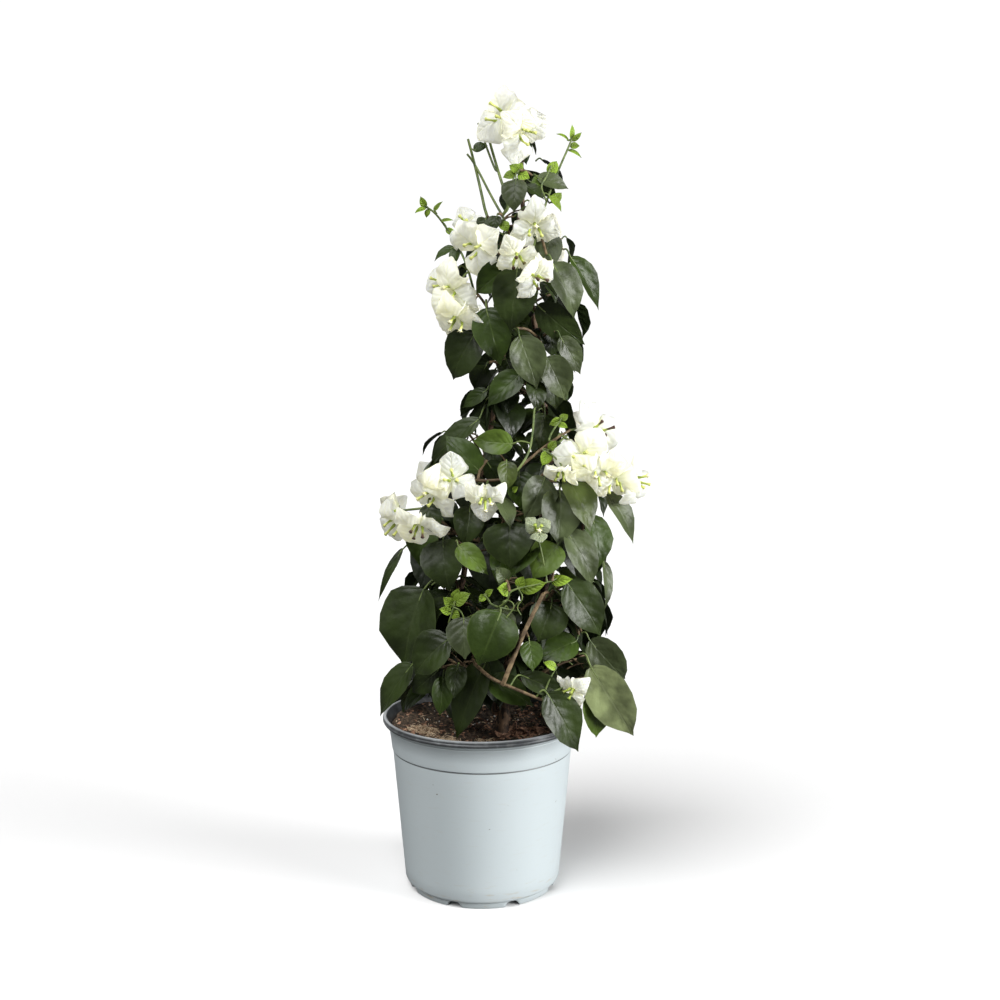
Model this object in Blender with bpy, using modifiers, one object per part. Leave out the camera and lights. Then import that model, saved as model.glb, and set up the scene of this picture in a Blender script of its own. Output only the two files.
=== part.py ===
"""A white bougainvillea trained as a slim cone, in the round nursery pot it is grown and sold in.

The pot stands on the world's origin, +Z is up and the plant's best side faces -Y. Lengths are in
metres and angles in degrees. A short trunk forks into three leading stems that climb round one
leaning line. The crown is built in tiers of leafy masses: each mass is one stem with twigs, leaves
and white blooms fused on, and it grows from the side of a leading stem.
"""

import math
import random

import bmesh
import bpy
from mathutils import Matrix, Vector, noise
from mathutils.bvhtree import BVHTree

# Pot: a thin blow-moulded wall with a rolled lip, a step under the lip and an inset foot
POT_HEIGHT = 0.150
LIP_RADIUS = 0.085
LIP_DEPTH = 0.006
LIP_WIDTH = 0.0036
WALL_TOP_RADIUS = 0.0822
STEP_HEIGHT = 0.1245
STEP_RADIUS = 0.0798
STEP_INSET = 0.0008
WALL_FOOT_RADIUS = 0.0692
FOOT_HEIGHT = 0.006
FOOT_RADIUS = 0.0660
FOOT_CHAMFER = 0.0022
INNER_FOOT = 0.014
POT_WALL = 0.0016
POT_ROUNDING = 0.0007
POT_SIDES = 40
DRAIN_COUNT = 8
DRAIN_WIDTH = 0.013
DRAIN_HEIGHT = 0.0052
DRAIN_DEPTH = 0.010
DRAIN_TURN = -66.0

# Soil: damp peat and bark that fills the pot to just under the lip
SOIL_TOP = 0.1405
SOIL_GAP = 0.0004
SOIL_FOOT = 0.016
SOIL_HIGHEST_BUMP = 0.35
TRUNK_PLOT = 0.013
TRUNK_PLOT_EDGE = 0.012
SOIL_RINGS = 5
SOIL_SIDES = 28
SOIL_RELIEF = 0.0028
SOIL_GRAIN = 55.0

# Trunk and the three leading stems
NODE_GAP = 0.0003
TRUNK_FOOT = Vector((0.016, -0.018, SOIL_TOP + NODE_GAP))
TRUNK_TIP = Vector((0.019, -0.023, 0.174))
TRUNK_RADIUS = 0.0052
TRUNK_TIP_RADIUS = 0.0042
TRUNK_FLARE = 0.0040
FLARE_HEIGHT = 0.006
TRUNK_SWAY = 0.0012
TRUNK_STEPS = 7
TRUNK_CROWDING = 1.6
LINE_FOOT_X = 0.012
LINE_LEAN = 0.045
LEADER_STEPS = 15
LEADER_CROWDING = 1.25
LEADER_SETTLE = 0.16
LEADER_SPREAD_FIRST = 0.42
LEADER_SPREAD_BY = 0.25
LEADER_CLOSING = 0.62
# name: (share of the trunk where it starts, top height, first azimuth, turn, widest radius, thickness)
LEADERS = {
    "leader_front": (1.0, 0.640, -62.0, 150.0, 0.052, 0.0034),
    "leader_left": (0.62, 0.590, 178.0, 95.0, 0.046, 0.0030),
    "leader_back": (0.36, 0.560, 62.0, 80.0, 0.044, 0.0030),
}
LEADER_TIP_SHARE = 0.55
LEADER_TIP_GAP = 0.0009

# Crown: its outline as (height, radius), and the tiers of masses from the pot's lip to the top
CROWN_OUTLINE = (
    (0.150, 0.108),
    (0.200, 0.114),
    (0.260, 0.110),
    (0.320, 0.108),
    (0.380, 0.092),
    (0.440, 0.064),
    (0.500, 0.072),
    (0.540, 0.072),
    (0.580, 0.056),
    (0.640, 0.040),
)
SUNNY_AZIMUTH = -15.0
SUNNY_SWELL = 0.10
# name: (lowest twig tip, highest twig tip, masses round the tier, first azimuth, leaf length, twigs)
TIERS = {
    "low": (0.184, 0.232, 4, -38.0, 0.062, 4),
    "skirt": (0.238, 0.290, 5, -54.0, 0.062, 3),
    "middle": (0.296, 0.350, 5, -90.0, 0.058, 3),
    "shoulder": (0.356, 0.410, 4, -45.0, 0.054, 3),
    "waist": (0.416, 0.466, 3, -90.0, 0.048, 3),
    "neck": (0.472, 0.530, 3, -30.0, 0.050, 3),
    "head": (0.536, 0.590, 3, -90.0, 0.042, 3),
}
TOP_NAME = "foliage_top"
TOP_HEIGHT = 0.668
TOP_LEAF = 0.030
TOP_TWIGS = 4
TOP_GAP = 0.0006
TOP_TWIG_HEIGHTS = (0.622, 0.650)
TOP_SECTOR = 20.0
TOP_BLOOMS_FROM = 0.60
# Young shoots that stand out of the crown: (start height, azimuth, tip height, tip reach, leaves)
SHOOTS = {
    "shoot_right": (0.596, -20.0, 0.664, 0.036, 7),
    "shoot_left": (0.535, 188.0, 0.604, 0.086, 8),
    "shoot_upper": (0.606, 184.0, 0.668, 0.050, 4),
}
SHOOT_LEAF = 0.017
SHOOT_RADII = (0.0016, 0.0012)
SHOOT_STEPS = 5
SHOOT_LEAFY_SHARE = 0.42
SHOOT_LEAF_WANDER = 20.0
SHOOT_LEAF_FIRST = (-55.0, -15.0)
SHOOT_LEAF_LAST = (-10.0, 30.0)
SHOOT_LEAF_SIZES = (0.7, 1.2)

# Blooms: (azimuth, height, reach from the line, turn of the face off the radial, pitch of the face)
BLOOMS = (
    (-148.0, 0.671, 0.030, -20.0, 10.0),
    (-84.0, 0.655, 0.028, 45.0, -5.0),
    (-80.0, 0.581, 0.045, 0.0, -5.0),
    (-128.0, 0.562, 0.066, 10.0, -15.0),
    (-99.0, 0.553, 0.056, 10.0, -30.0),
    (-142.0, 0.524, 0.078, 20.0, -25.0),
    (-136.0, 0.499, 0.070, 15.0, -50.0),
    (-46.0, 0.389, 0.088, -10.0, -10.0),
    (-24.0, 0.409, 0.090, 0.0, 20.0),
    (-32.0, 0.370, 0.102, -20.0, -35.0),
    (-15.0, 0.362, 0.106, 10.0, -25.0),
    (-127.0, 0.366, 0.098, 0.0, -15.0),
    (-106.0, 0.352, 0.094, 5.0, -35.0),
    (-151.0, 0.334, 0.108, 5.0, -35.0),
    (-46.0, 0.200, 0.096, 30.0, -25.0),
    (65.0, 0.571, 0.056, 0.0, 0.0),
    (110.0, 0.500, 0.078, 10.0, -20.0),
    (42.0, 0.405, 0.092, 0.0, -10.0),
    (60.0, 0.372, 0.106, 15.0, -25.0),
    (128.0, 0.352, 0.104, -10.0, -15.0),
    (152.0, 0.330, 0.108, 10.0, -30.0),
    (98.0, 0.262, 0.116, 0.0, -20.0),
)
BRACTS = 3
BRACT_LENGTH = 0.028
BRACT_THICKNESS = 0.0012
# Each bract's outline: (turn about the face, opening off the face's direction, share of its length)
BRACT_OUTLINE = ((-60.0, 42.0, 0.38), (-34.0, 60.0, 0.84), (0.0, 76.0, 1.0), (34.0, 60.0, 0.84))
FLOWER_TUBES = 3
TUBE_LENGTH = 0.017
TUBE_RADIUS = 0.0011
TUBE_PITCH = 0.0030
TUBE_SPLAY = 13.0
STALK_PLACE = 0.9
STALK_BACK = 0.004
STALK_ARCH = 0.12
STALK_SINK = 0.0004
BLOOM_SLACK = (0.004, 0.002)

# Growth rule of stems, twigs and leaves
STEM_RADII = (0.0025, 0.0019)
STEM_STEPS = 4
TWIG_RADII = (0.0013, 0.0011)
TWIG_STEPS = 3
PETIOLE_RADIUS = 0.00055
LEAF_SINK = 0.0012
STEM_REACH = 0.52
STEM_GAP = 0.0004
STEM_COLLAR = 0.003
STEM_BEND = 0.4
STEM_RISE_TO = 0.018
STEM_DROPS = (0.0, 0.010, 0.020, 0.030, 0.040, -0.010)
SHORTEST_STEM = 0.016
BARE_FOOT = 0.012
BARE_TIP = 0.004
GOLDEN_TURN = 137.5
LEAF_OVERHANG = 0.42
SHARPEST_BEND = 62.0
TWIG_ARCH = 0.28
LEAF_PLACES = (0.30, 0.78)
LEAF_SWINGS = (-48.0, 48.0)
LEAF_WIDTH_SHARE = 0.66
LEAF_KEEL_SHARE = 0.024
PETIOLE_SHARE = 0.20
PETIOLE_LIFT = 0.25
# Across a blade: (share of its length, share of its width)
LEAF_STATIONS = ((0.02, 0.08), (0.32, 1.0), (0.68, 0.68))
FIRST_DROOP = (26.0, 66.0)
ADDED_DROOP = (14.0, 44.0)
LEAF_WANDER = (14.0, 4.0)
LEAF_ROLL = 16.0
LEAF_SIZES = (0.80, 1.12)
LEAF_SHRINK = 0.022
SPRAY_SPREAD = 0.86
SPRAY_WANDER = 0.16
TIP_REACHES = (0.78, 1.0)
TWIG_PLACES = (0.45, 0.98)
TRIES = 14
CLEARANCE = 0.0008
SEED = 29

COLORS = {
    "pot": ((0.72, 0.78, 0.82), 0.45),
    "soil": ((0.035, 0.021, 0.014), 0.95),
    "stem": ((0.145, 0.085, 0.048), 0.80),
    "foliage": ((0.030, 0.062, 0.022), 0.42),
}


# ---------------------------------------------------------------- scene, materials and plain tools


def clear_scene():
    for old in list(bpy.data.objects):
        bpy.data.objects.remove(old)


def material(name):
    color, roughness = COLORS[name]
    made = bpy.data.materials.new(name)
    made.use_nodes = True
    made.diffuse_color = (*color, 1.0)
    shader = made.node_tree.nodes["Principled BSDF"]
    shader.inputs["Base Color"].default_value = (*color, 1.0)
    shader.inputs["Roughness"].default_value = roughness
    shader.inputs["Metallic"].default_value = 0.0
    return made


def new_object(name, data, collection, finish):
    made = bpy.data.objects.new(name, data)
    made.data.materials.append(finish)
    collection.objects.link(made)
    return made


def evaluated_mesh(source):
    """The object's mesh with its modifiers applied."""
    bpy.context.view_layer.update()
    graph = bpy.context.evaluated_depsgraph_get()
    return bpy.data.meshes.new_from_object(source.evaluated_get(graph))


def unit(azimuth, elevation=0.0):
    """Unit vector at an azimuth about +Z and an elevation above the horizon."""
    a, e = math.radians(azimuth), math.radians(elevation)
    return Vector((math.cos(a) * math.cos(e), math.sin(a) * math.cos(e), math.sin(e)))


def smooth(share):
    share = min(max(share, 0.0), 1.0)
    return share * share * (3.0 - 2.0 * share)


def mix(low, high, share):
    return low + (high - low) * share


def bezier(start, middle, end, steps):
    """Points along a quadratic curve, both ends included."""
    found = []
    for step in range(steps):
        t = step / (steps - 1)
        found.append(start * (1 - t) ** 2 + middle * 2 * t * (1 - t) + end * t * t)
    return found


# ---------------------------------------------------------------------------------- pot and soil


def turned(name, profile, sides, collection, finish):
    """A turned solid: the (radius, height) profile swept round the Z axis by a Screw modifier."""
    outline = bpy.data.meshes.new(name)
    points = [(radius, 0.0, height) for radius, height in profile]
    outline.from_pydata(points, [(i, i + 1) for i in range(len(points) - 1)], [])
    made = new_object(name, outline, collection, finish)
    screw = made.modifiers.new("sweep", "SCREW")
    screw.steps = screw.render_steps = sides
    screw.use_merge_vertices = True
    screw.merge_threshold = 0.00001
    return made


def wall_radius(height):
    """Outer radius of the pot's wall under the step."""
    share = (height - FOOT_HEIGHT) / (STEP_HEIGHT - FOOT_HEIGHT)
    return mix(WALL_FOOT_RADIUS, STEP_RADIUS - STEP_INSET, share)


def make_pot(collection, cutters, finish):
    lip_inner = LIP_RADIUS - LIP_WIDTH
    lip_foot = POT_HEIGHT - LIP_DEPTH
    step_inner = STEP_RADIUS - STEP_INSET - POT_WALL
    profile = (
        (0.0, POT_WALL),
        (FOOT_RADIUS - POT_WALL, POT_WALL),
        (FOOT_RADIUS - POT_WALL + POT_ROUNDING, FOOT_HEIGHT),
        (wall_radius(INNER_FOOT) - POT_WALL, INNER_FOOT),
        (step_inner, STEP_HEIGHT),
        (WALL_TOP_RADIUS - POT_WALL, lip_foot),
        (lip_inner, POT_HEIGHT),
        (LIP_RADIUS - POT_ROUNDING, POT_HEIGHT),
        (LIP_RADIUS, POT_HEIGHT - POT_ROUNDING),
        (LIP_RADIUS - POT_ROUNDING, lip_foot),
        (WALL_TOP_RADIUS, lip_foot - POT_ROUNDING),
        (STEP_RADIUS, STEP_HEIGHT + POT_ROUNDING),
        (STEP_RADIUS - STEP_INSET, STEP_HEIGHT),
        (WALL_FOOT_RADIUS, FOOT_HEIGHT + FOOT_CHAMFER),
        (WALL_FOOT_RADIUS - FOOT_CHAMFER / 2, FOOT_HEIGHT),
        (FOOT_RADIUS, FOOT_HEIGHT - FOOT_CHAMFER / 2),
        (FOOT_RADIUS - POT_ROUNDING, 0.0),
        (0.0, 0.0),
    )
    pot = turned("pot", profile, POT_SIDES, collection, finish)
    for index in range(DRAIN_COUNT):
        bpy.ops.mesh.primitive_cylinder_add(vertices=12, radius=1.0, depth=1.0)
        cutter = bpy.context.active_object
        cutter.name = f"drain_cutter_{index + 1}"
        azimuth = DRAIN_TURN + index * 360.0 / DRAIN_COUNT
        size = Matrix.Diagonal((DRAIN_HEIGHT, DRAIN_WIDTH / 2, 2 * DRAIN_DEPTH, 1.0))
        lay = Matrix.Rotation(math.radians(90.0), 4, "Y")
        turn = Matrix.Rotation(math.radians(azimuth), 4, "Z")
        place = Matrix.Translation(unit(azimuth) * FOOT_RADIUS)
        cutter.data.transform(place @ turn @ lay @ size)
        cutter.hide_render = True
        cutter.display_type = "WIRE"
        for home in list(cutter.users_collection):
            home.objects.unlink(cutter)
        cutters.objects.link(cutter)
    drains = pot.modifiers.new("drains", "BOOLEAN")
    drains.operation = "DIFFERENCE"
    drains.operand_type = "COLLECTION"
    drains.collection = cutters
    return pot


def soil_height(x, y):
    """The soil's uneven surface, flat under the trunk's foot and at the pot's wall."""
    bump = noise.noise(Vector((x * SOIL_GRAIN, y * SOIL_GRAIN, 3.7)))
    from_trunk = math.hypot(x - TRUNK_FOOT.x, y - TRUNK_FOOT.y)
    fade = smooth((from_trunk - TRUNK_PLOT) / TRUNK_PLOT_EDGE)
    return SOIL_TOP + min(bump, SOIL_HIGHEST_BUMP) * SOIL_RELIEF * fade


def make_soil(collection, finish):
    side = SOIL_GAP + POT_WALL
    inside = STEP_RADIUS - STEP_INSET - side
    lowest_dip = SOIL_TOP - SOIL_RELIEF
    up_the_rim = (lowest_dip - STEP_HEIGHT) / (POT_HEIGHT - LIP_DEPTH - STEP_HEIGHT)
    top_radius = mix(inside, WALL_TOP_RADIUS - side, up_the_rim)
    profile = [(top_radius * ring / SOIL_RINGS, SOIL_TOP) for ring in range(SOIL_RINGS + 1)]
    profile += [
        (inside - SOIL_GAP, STEP_HEIGHT),
        (wall_radius(SOIL_FOOT) - side - SOIL_GAP, SOIL_FOOT),
        (FOOT_RADIUS - side, FOOT_HEIGHT),
        (FOOT_RADIUS - side - SOIL_GAP, POT_WALL + SOIL_GAP),
        (0.0, POT_WALL + SOIL_GAP),
    ]
    blank = turned("soil_blank", profile, SOIL_SIDES, collection, finish)
    mesh = evaluated_mesh(blank)
    bpy.data.objects.remove(blank)
    for point in mesh.vertices:
        if point.co.z > SOIL_TOP - SOIL_GAP:
            point.co.z = soil_height(point.co.x, point.co.y)
    return new_object("soil", mesh, collection, finish)


# ------------------------------------------------------------------------------ trunk and leaders


def limb(name, points, radii, collection, finish):
    """One tapering limb: a poly curve with a round bevel, thinner from point to point."""
    curve = bpy.data.curves.new(name, "CURVE")
    curve.dimensions = "3D"
    curve.bevel_depth = 1.0
    curve.bevel_resolution = 1
    curve.use_fill_caps = True
    spline = curve.splines.new("POLY")
    spline.points.add(len(points) - 1)
    for knot, place, radius in zip(spline.points, points, radii):
        knot.co = (*place, 1.0)
        knot.radius = radius
    return new_object(name, curve, collection, finish)


def line_point(height):
    """The leaning line that the plant is trained round."""
    return Vector((LINE_FOOT_X + LINE_LEAN * (height - SOIL_TOP), 0.0, height))


def trunk_point(share):
    sway = math.sin(math.pi * share) * TRUNK_SWAY
    return TRUNK_FOOT.lerp(TRUNK_TIP, share) + Vector((sway, -sway, 0.0))


def make_trunk(collection, finish):
    points = []
    radii = []
    for step in range(TRUNK_STEPS):
        share = (step / (TRUNK_STEPS - 1)) ** TRUNK_CROWDING
        height = (TRUNK_TIP.z - TRUNK_FOOT.z) * share
        points.append(trunk_point(share))
        flare = TRUNK_FLARE * math.exp(-height / FLARE_HEIGHT)
        radii.append(mix(TRUNK_RADIUS, TRUNK_TIP_RADIUS, share) + flare)
    points[0] = TRUNK_FOOT.copy()
    points[1].x, points[1].y = TRUNK_FOOT.x, TRUNK_FOOT.y
    return limb("trunk", points, radii, collection, finish)


def leader_radius(name, share):
    thickness = LEADERS[name][5]
    return thickness * mix(1.0, LEADER_TIP_SHARE, share)


def leader_start(name):
    """Where a leader leaves the trunk: on from its tip, or from its side a hair's gap away."""
    place, _, azimuth, _, _, thickness = LEADERS[name]
    if place == 1.0:
        onward = (trunk_point(1.0) - trunk_point(0.9)).normalized()
        return trunk_point(1.0) + onward * LEADER_TIP_GAP
    return trunk_point(place) + unit(azimuth) * (TRUNK_RADIUS + thickness)


def leader_point(name, share):
    """A point on a leader, which swings out from the trunk and winds up round the leaning line."""
    _, top, azimuth, turn, widest, _ = LEADERS[name]
    start = leader_start(name)
    height = mix(start.z, top, share)
    opened = mix(LEADER_SPREAD_FIRST, 1.0, smooth(share / LEADER_SPREAD_BY))
    spread = widest * opened * (1.0 - share) ** LEADER_CLOSING
    wound = line_point(height) + unit(azimuth + turn * share) * spread
    settled = start.lerp(wound, smooth(share / LEADER_SETTLE))
    settled.z = height
    return settled


def make_leaders(collection, finish):
    made = {}
    for name in LEADERS:
        steps = range(LEADER_STEPS)
        shares = [(step / (LEADER_STEPS - 1)) ** LEADER_CROWDING for step in steps]
        points = [leader_point(name, share) for share in shares]
        radii = [leader_radius(name, share) for share in shares]
        made[name] = limb(name, points, radii, collection, finish)
    return made


# ------------------------------------------------------------------------------- crown's outline


def crown_radius(height, azimuth):
    """Radius of the crown's outline about the leaning line, fuller on its sunny side."""
    heights = [row[0] for row in CROWN_OUTLINE]
    height = min(max(height, heights[0]), heights[-1])
    above = next(i for i, level in enumerate(heights) if level >= height)
    low, high = CROWN_OUTLINE[max(above - 1, 0)], CROWN_OUTLINE[max(above, 1)]
    radius = mix(low[1], high[1], smooth((height - low[0]) / (high[0] - low[0])))
    return radius * (1.0 + SUNNY_SWELL * math.cos(math.radians(azimuth - SUNNY_AZIMUTH)))


def crown_point(height, azimuth, reach):
    return line_point(height) + unit(azimuth) * reach


# ------------------------------------------------- spindles: the form of every twig, leaf and bract


def spindle(rings, start, end):
    """A closed form with one vertex at each end: a coarse sphere whose rings are moved in place."""
    form = bmesh.new()
    sides = len(rings[0])
    bmesh.ops.create_uvsphere(form, u_segments=sides, v_segments=len(rings) + 1, radius=1.0)
    for vertex in form.verts:
        level = math.acos(max(-1.0, min(1.0, -vertex.co.z))) / math.pi * (len(rings) + 1)
        if round(level) == 0:
            vertex.co = start
        elif round(level) == len(rings) + 1:
            vertex.co = end
        else:
            turn = math.atan2(vertex.co.y, vertex.co.x) / (2 * math.pi) * sides
            vertex.co = rings[round(level) - 1][round(turn) % sides]
    if form.calc_volume(signed=True) < 0.0:
        bmesh.ops.reverse_faces(form, faces=form.faces)
    return form


def rod_rings(points, radii):
    """The three-sided rings of a tapering rod along the points."""
    rings = []
    for index, place in enumerate(points):
        before = points[max(index - 1, 0)]
        after = points[min(index + 1, len(points) - 1)]
        along = (after - before).normalized()
        across = along.cross(Vector((0.0, 0.0, 1.0)))
        if across.length < 0.1:
            across = along.cross(Vector((0.0, 1.0, 0.0)))
        across.normalize()
        up = along.cross(across)
        ring = []
        for corner in range(3):
            angle = math.radians(-120.0 * corner)
            ring.append(place + (across * math.cos(angle) + up * math.sin(angle)) * radii[index])
        rings.append(ring)
    return rings


def rod(points, radii):
    return spindle(rod_rings(points, radii), points[0], points[-1])


def blade_rings(leaf, extra=0.0):
    """The rings of a leaf's blade, flat on top and with a keel under its midrib.

    extra makes it that much fatter all round, to keep a clear gap to its neighbours.
    """
    rings = []
    for share, width in LEAF_STATIONS:
        center, along = blade_spine(leaf, share)
        side = along.cross(leaf["normal"]).normalized()
        over = side.cross(along).normalized()
        half = leaf["width"] * width / 2 + extra
        keel = leaf["length"] * LEAF_KEEL_SHARE + extra
        rings.append([center + side * half + over * extra,
                      center - side * half + over * extra,
                      center - over * keel])
    return rings


def blade(leaf, extra=0.0):
    """A leaf on its own: a thin petiole from the root, then the blade."""
    onward = (leaf["base"] - leaf["root"]).normalized()
    side = onward.cross(leaf["normal"]).normalized()
    over = side.cross(onward)
    thin = PETIOLE_RADIUS + extra
    petiole = [leaf["root"] + side * thin + over * thin * 0.6,
               leaf["root"] - side * thin + over * thin * 0.6,
               leaf["root"] - over * thin]
    tip, along = blade_spine(leaf, 1.0)
    return spindle([petiole] + blade_rings(leaf, extra), leaf["root"], tip + along * extra)


def blade_spine(leaf, share):
    """Place and direction of the midrib at a share of the blade's length."""
    first, last = leaf["first"], leaf["last"]
    place = leaf["base"] + (first * share + (last - first) * share * share / 2) * leaf["length"]
    return place, first.lerp(last, share).normalized()


def new_leaf(root, swing_from, swing, droops, roll, length):
    """A drooping leaf at a twig's point. swing turns it off the outward azimuth."""
    heading = unit(swing_from + swing)
    up = Vector((0.0, 0.0, 1.0))
    first = heading * math.cos(math.radians(droops[0])) - up * math.sin(math.radians(droops[0]))
    last = heading * math.cos(math.radians(droops[1])) - up * math.sin(math.radians(droops[1]))
    normal = heading * math.sin(math.radians(droops[0])) + up * math.cos(math.radians(droops[0]))
    normal = Matrix.Rotation(math.radians(roll), 3, first) @ normal
    petiole = (heading + up * PETIOLE_LIFT).normalized() * length * PETIOLE_SHARE
    return {
        "root": root,
        "base": root + petiole,
        "first": first,
        "last": last,
        "normal": normal,
        "length": length,
        "width": length * LEAF_WIDTH_SHARE,
    }


def bloom_parts(center, azimuth, pitch, spin, extra=0.0):
    """Three broad bracts, made as one three-pointed cup, that open round three slender tubes."""
    face = unit(azimuth, pitch)
    across = face.cross(Vector((0.0, 0.0, 1.0))).normalized()
    up = across.cross(face)
    outline = []
    for index in range(BRACTS):
        for turn, opening, reach in BRACT_OUTLINE:
            angle = math.radians(spin + index * 360.0 / BRACTS + turn)
            out = across * math.cos(angle) + up * math.sin(angle)
            open_angle = math.radians(opening)
            spoke = face * math.cos(open_angle) + out * math.sin(open_angle)
            outline.append(center + spoke * (BRACT_LENGTH * reach + extra))
    outline.reverse()
    thick = BRACT_THICKNESS + extra
    parts = [spindle([outline], center + face * thick, center - face * thick)]
    for index in range(FLOWER_TUBES):
        angle = math.radians(spin + index * 360.0 / FLOWER_TUBES)
        out = across * math.cos(angle) + up * math.sin(angle)
        along = (face + out * math.tan(math.radians(TUBE_SPLAY))).normalized()
        start = center + out * TUBE_PITCH + face * BRACT_THICKNESS / 2
        ring = []
        for corner in range(3):
            turn = angle + math.radians(120.0 * corner)
            spoke = across * math.cos(turn) + up * math.sin(turn)
            ring.append(start + spoke * (TUBE_RADIUS + extra))
        parts.append(spindle([ring], start - along * 0.0002, start + along * TUBE_LENGTH))
    return parts


# ------------------------------------------------------------------------------- the growth rule


def tree_of(form):
    return BVHTree.FromBMesh(form)


class Mass:
    """One leafy mass while it grows: its pieces so far and the forms that others keep clear of."""

    def __init__(self, name, azimuth, seed, crown):
        self.name = name
        self.azimuth = azimuth
        self.chance = random.Random(seed)
        self.crown = crown
        self.pieces = []
        self.rods = []
        self.blades = []
        self.stem = []
        crown.masses.append(self)

    def add_rod(self, points, radii, from_limb=False):
        """Adds a stem or twig unless it would touch a limb, the pot, a leaf or another mass."""
        made = rod(points, radii)
        fat_radii = [radius + CLEARANCE for radius in radii]
        if from_limb:
            fat_radii[0] = radii[0] / 2
        if not self.crown.is_clear(rod(points, fat_radii), self, self.blades):
            return False
        if from_limb and not self.crown.is_clear(made, self, []):
            return False
        self.pieces.append(made)
        self.rods.append(tree_of(made))
        return True

    def add_blade(self, leaf, crossed):
        """Adds a leaf unless it would touch a neighbour or one of the crossed twigs."""
        if not self.crown.is_clear(blade(leaf, CLEARANCE), self, self.blades + crossed):
            return False
        made = blade(leaf)
        self.blades.append(tree_of(made))
        self.pieces.append(made)
        return True

    def end_twig_in_leaf(self, twig, radii, leaf):
        """Makes the newest leaf and the twig that it ends one form, in place of the two."""
        self.pieces.pop()
        rings = rod_rings(twig, radii) + blade_rings(leaf)
        self.pieces[-1] = spindle(rings, twig[0], blade_spine(leaf, 1.0)[0])

    def add_bloom(self, center, azimuth, pitch):
        first = self.chance.uniform(0.0, 120.0)
        for turn in range(0, 120, 15):
            fat = bloom_parts(center, azimuth, pitch, first + turn, CLEARANCE)
            if all(self.crown.is_clear(form, self, self.blades) for form in fat):
                made = bloom_parts(center, azimuth, pitch, first + turn)
                self.pieces += made
                self.blades += [tree_of(form) for form in made]
                return


class Crown:
    """All that has grown so far, and the fixed solids that it grows round."""

    def __init__(self, solids):
        self.masses = []
        self.solids = []
        for solid in solids:
            form = bmesh.new()
            form.from_mesh(evaluated_mesh(solid))
            self.solids.append(tree_of(form))
            form.free()

    def is_clear(self, form, mass, own):
        """True where form touches no solid, no other mass and none of its own mass's given trees."""
        candidate = tree_of(form)
        near = self.solids + own
        for other in self.masses:
            if other is not mass:
                near = near + other.rods + other.blades
        return not any(candidate.overlap(tree) for tree in near)


def along(points, share):
    """The point at a share of the way along a run of points, counted in steps."""
    spot = share * (len(points) - 1)
    index = min(int(spot), len(points) - 2)
    return points[index].lerp(points[index + 1], spot - index)


def leader_side(name, height, toward):
    """A start for a stem on a leader's side, facing a point, and the direction it leaves in."""
    foot = leader_start(name).z
    share = (height - foot) / (LEADERS[name][1] - foot)
    middle = leader_point(name, share)
    run = (leader_point(name, share) - leader_point(name, share - 0.02)).normalized()
    away = toward - middle
    away = (away - run * away.dot(run)).normalized()
    return middle + away * (leader_radius(name, share) + STEM_GAP), away


def stem_from(start, away, target, steps):
    """A stem that leaves its limb square to the limb's side and then bends to its target."""
    squared = start + away * STEM_COLLAR
    middle = squared + away * (target - squared).length * STEM_BEND
    return [start] + bezier(squared, middle, target, steps - 1)


def grow_stem(mass, join, target, radii, steps):
    """The mass's stem, from the nearest leader that it can leave without touching another."""
    choices = []
    for name in LEADERS:
        for drop in STEM_DROPS:
            height = join - drop
            if leader_start(name).z + BARE_FOOT < height < LEADERS[name][1] - BARE_TIP:
                start, away = leader_side(name, height, target)
                distance = (target - start).length
                if distance > SHORTEST_STEM:
                    choices.append((distance, start, away))
    for distance, start, away in sorted(choices, key=lambda row: row[0]):
        stem = stem_from(start, away, target, steps)
        if mass.add_rod(stem, tapered(radii, steps), from_limb=True):
            mass.stem = stem
            return
    raise RuntimeError(f"no leader can carry {mass.name}")


def tapered(radii, steps):
    return [mix(*radii, step / (steps - 1)) for step in range(steps)]


def grow_bloom(mass, azimuth, height, reach, turn, pitch):
    """One bloom on its own stalk from near the end of the mass's stem."""
    center = crown_point(height, azimuth, reach)
    face = unit(azimuth + turn, pitch)
    root = along(mass.stem, STALK_PLACE)
    back = center - face * STALK_BACK
    middle = root.lerp(back, 0.5) + Vector((0.0, 0.0, STALK_ARCH * (back - root).length))
    stalk = [root, middle, center - face * STALK_SINK]
    if mass.add_rod(stalk, tapered(TWIG_RADII, 3)):
        mass.add_bloom(center, azimuth + turn, pitch)


def grow_leaf(mass, twig, place, length, swing, outward):
    """Tries a few poses for the leaf at a twig's point and keeps the first that is clear."""
    root = along(twig, place)
    onward = (twig[-1] - twig[-2]).normalized()
    for attempt in range(TRIES):
        wander = LEAF_WANDER[0] + LEAF_WANDER[1] * attempt
        turned_by = swing + mass.chance.uniform(-wander, wander)
        droop = mass.chance.uniform(*FIRST_DROOP)
        droops = (droop, droop + mass.chance.uniform(*ADDED_DROOP))
        roll = mass.chance.gauss(0.0, LEAF_ROLL)
        size = length * mass.chance.uniform(*LEAF_SIZES) * (1.0 - LEAF_SHRINK * attempt)
        leaf = new_leaf(root, outward, turned_by, droops, roll, size)
        bend = (leaf["base"] - root).angle(onward)
        if place == 1.0 and bend > math.radians(SHARPEST_BEND):
            continue
        if mass.add_blade(leaf, mass.rods[:-1]):
            return leaf
    return None


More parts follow.
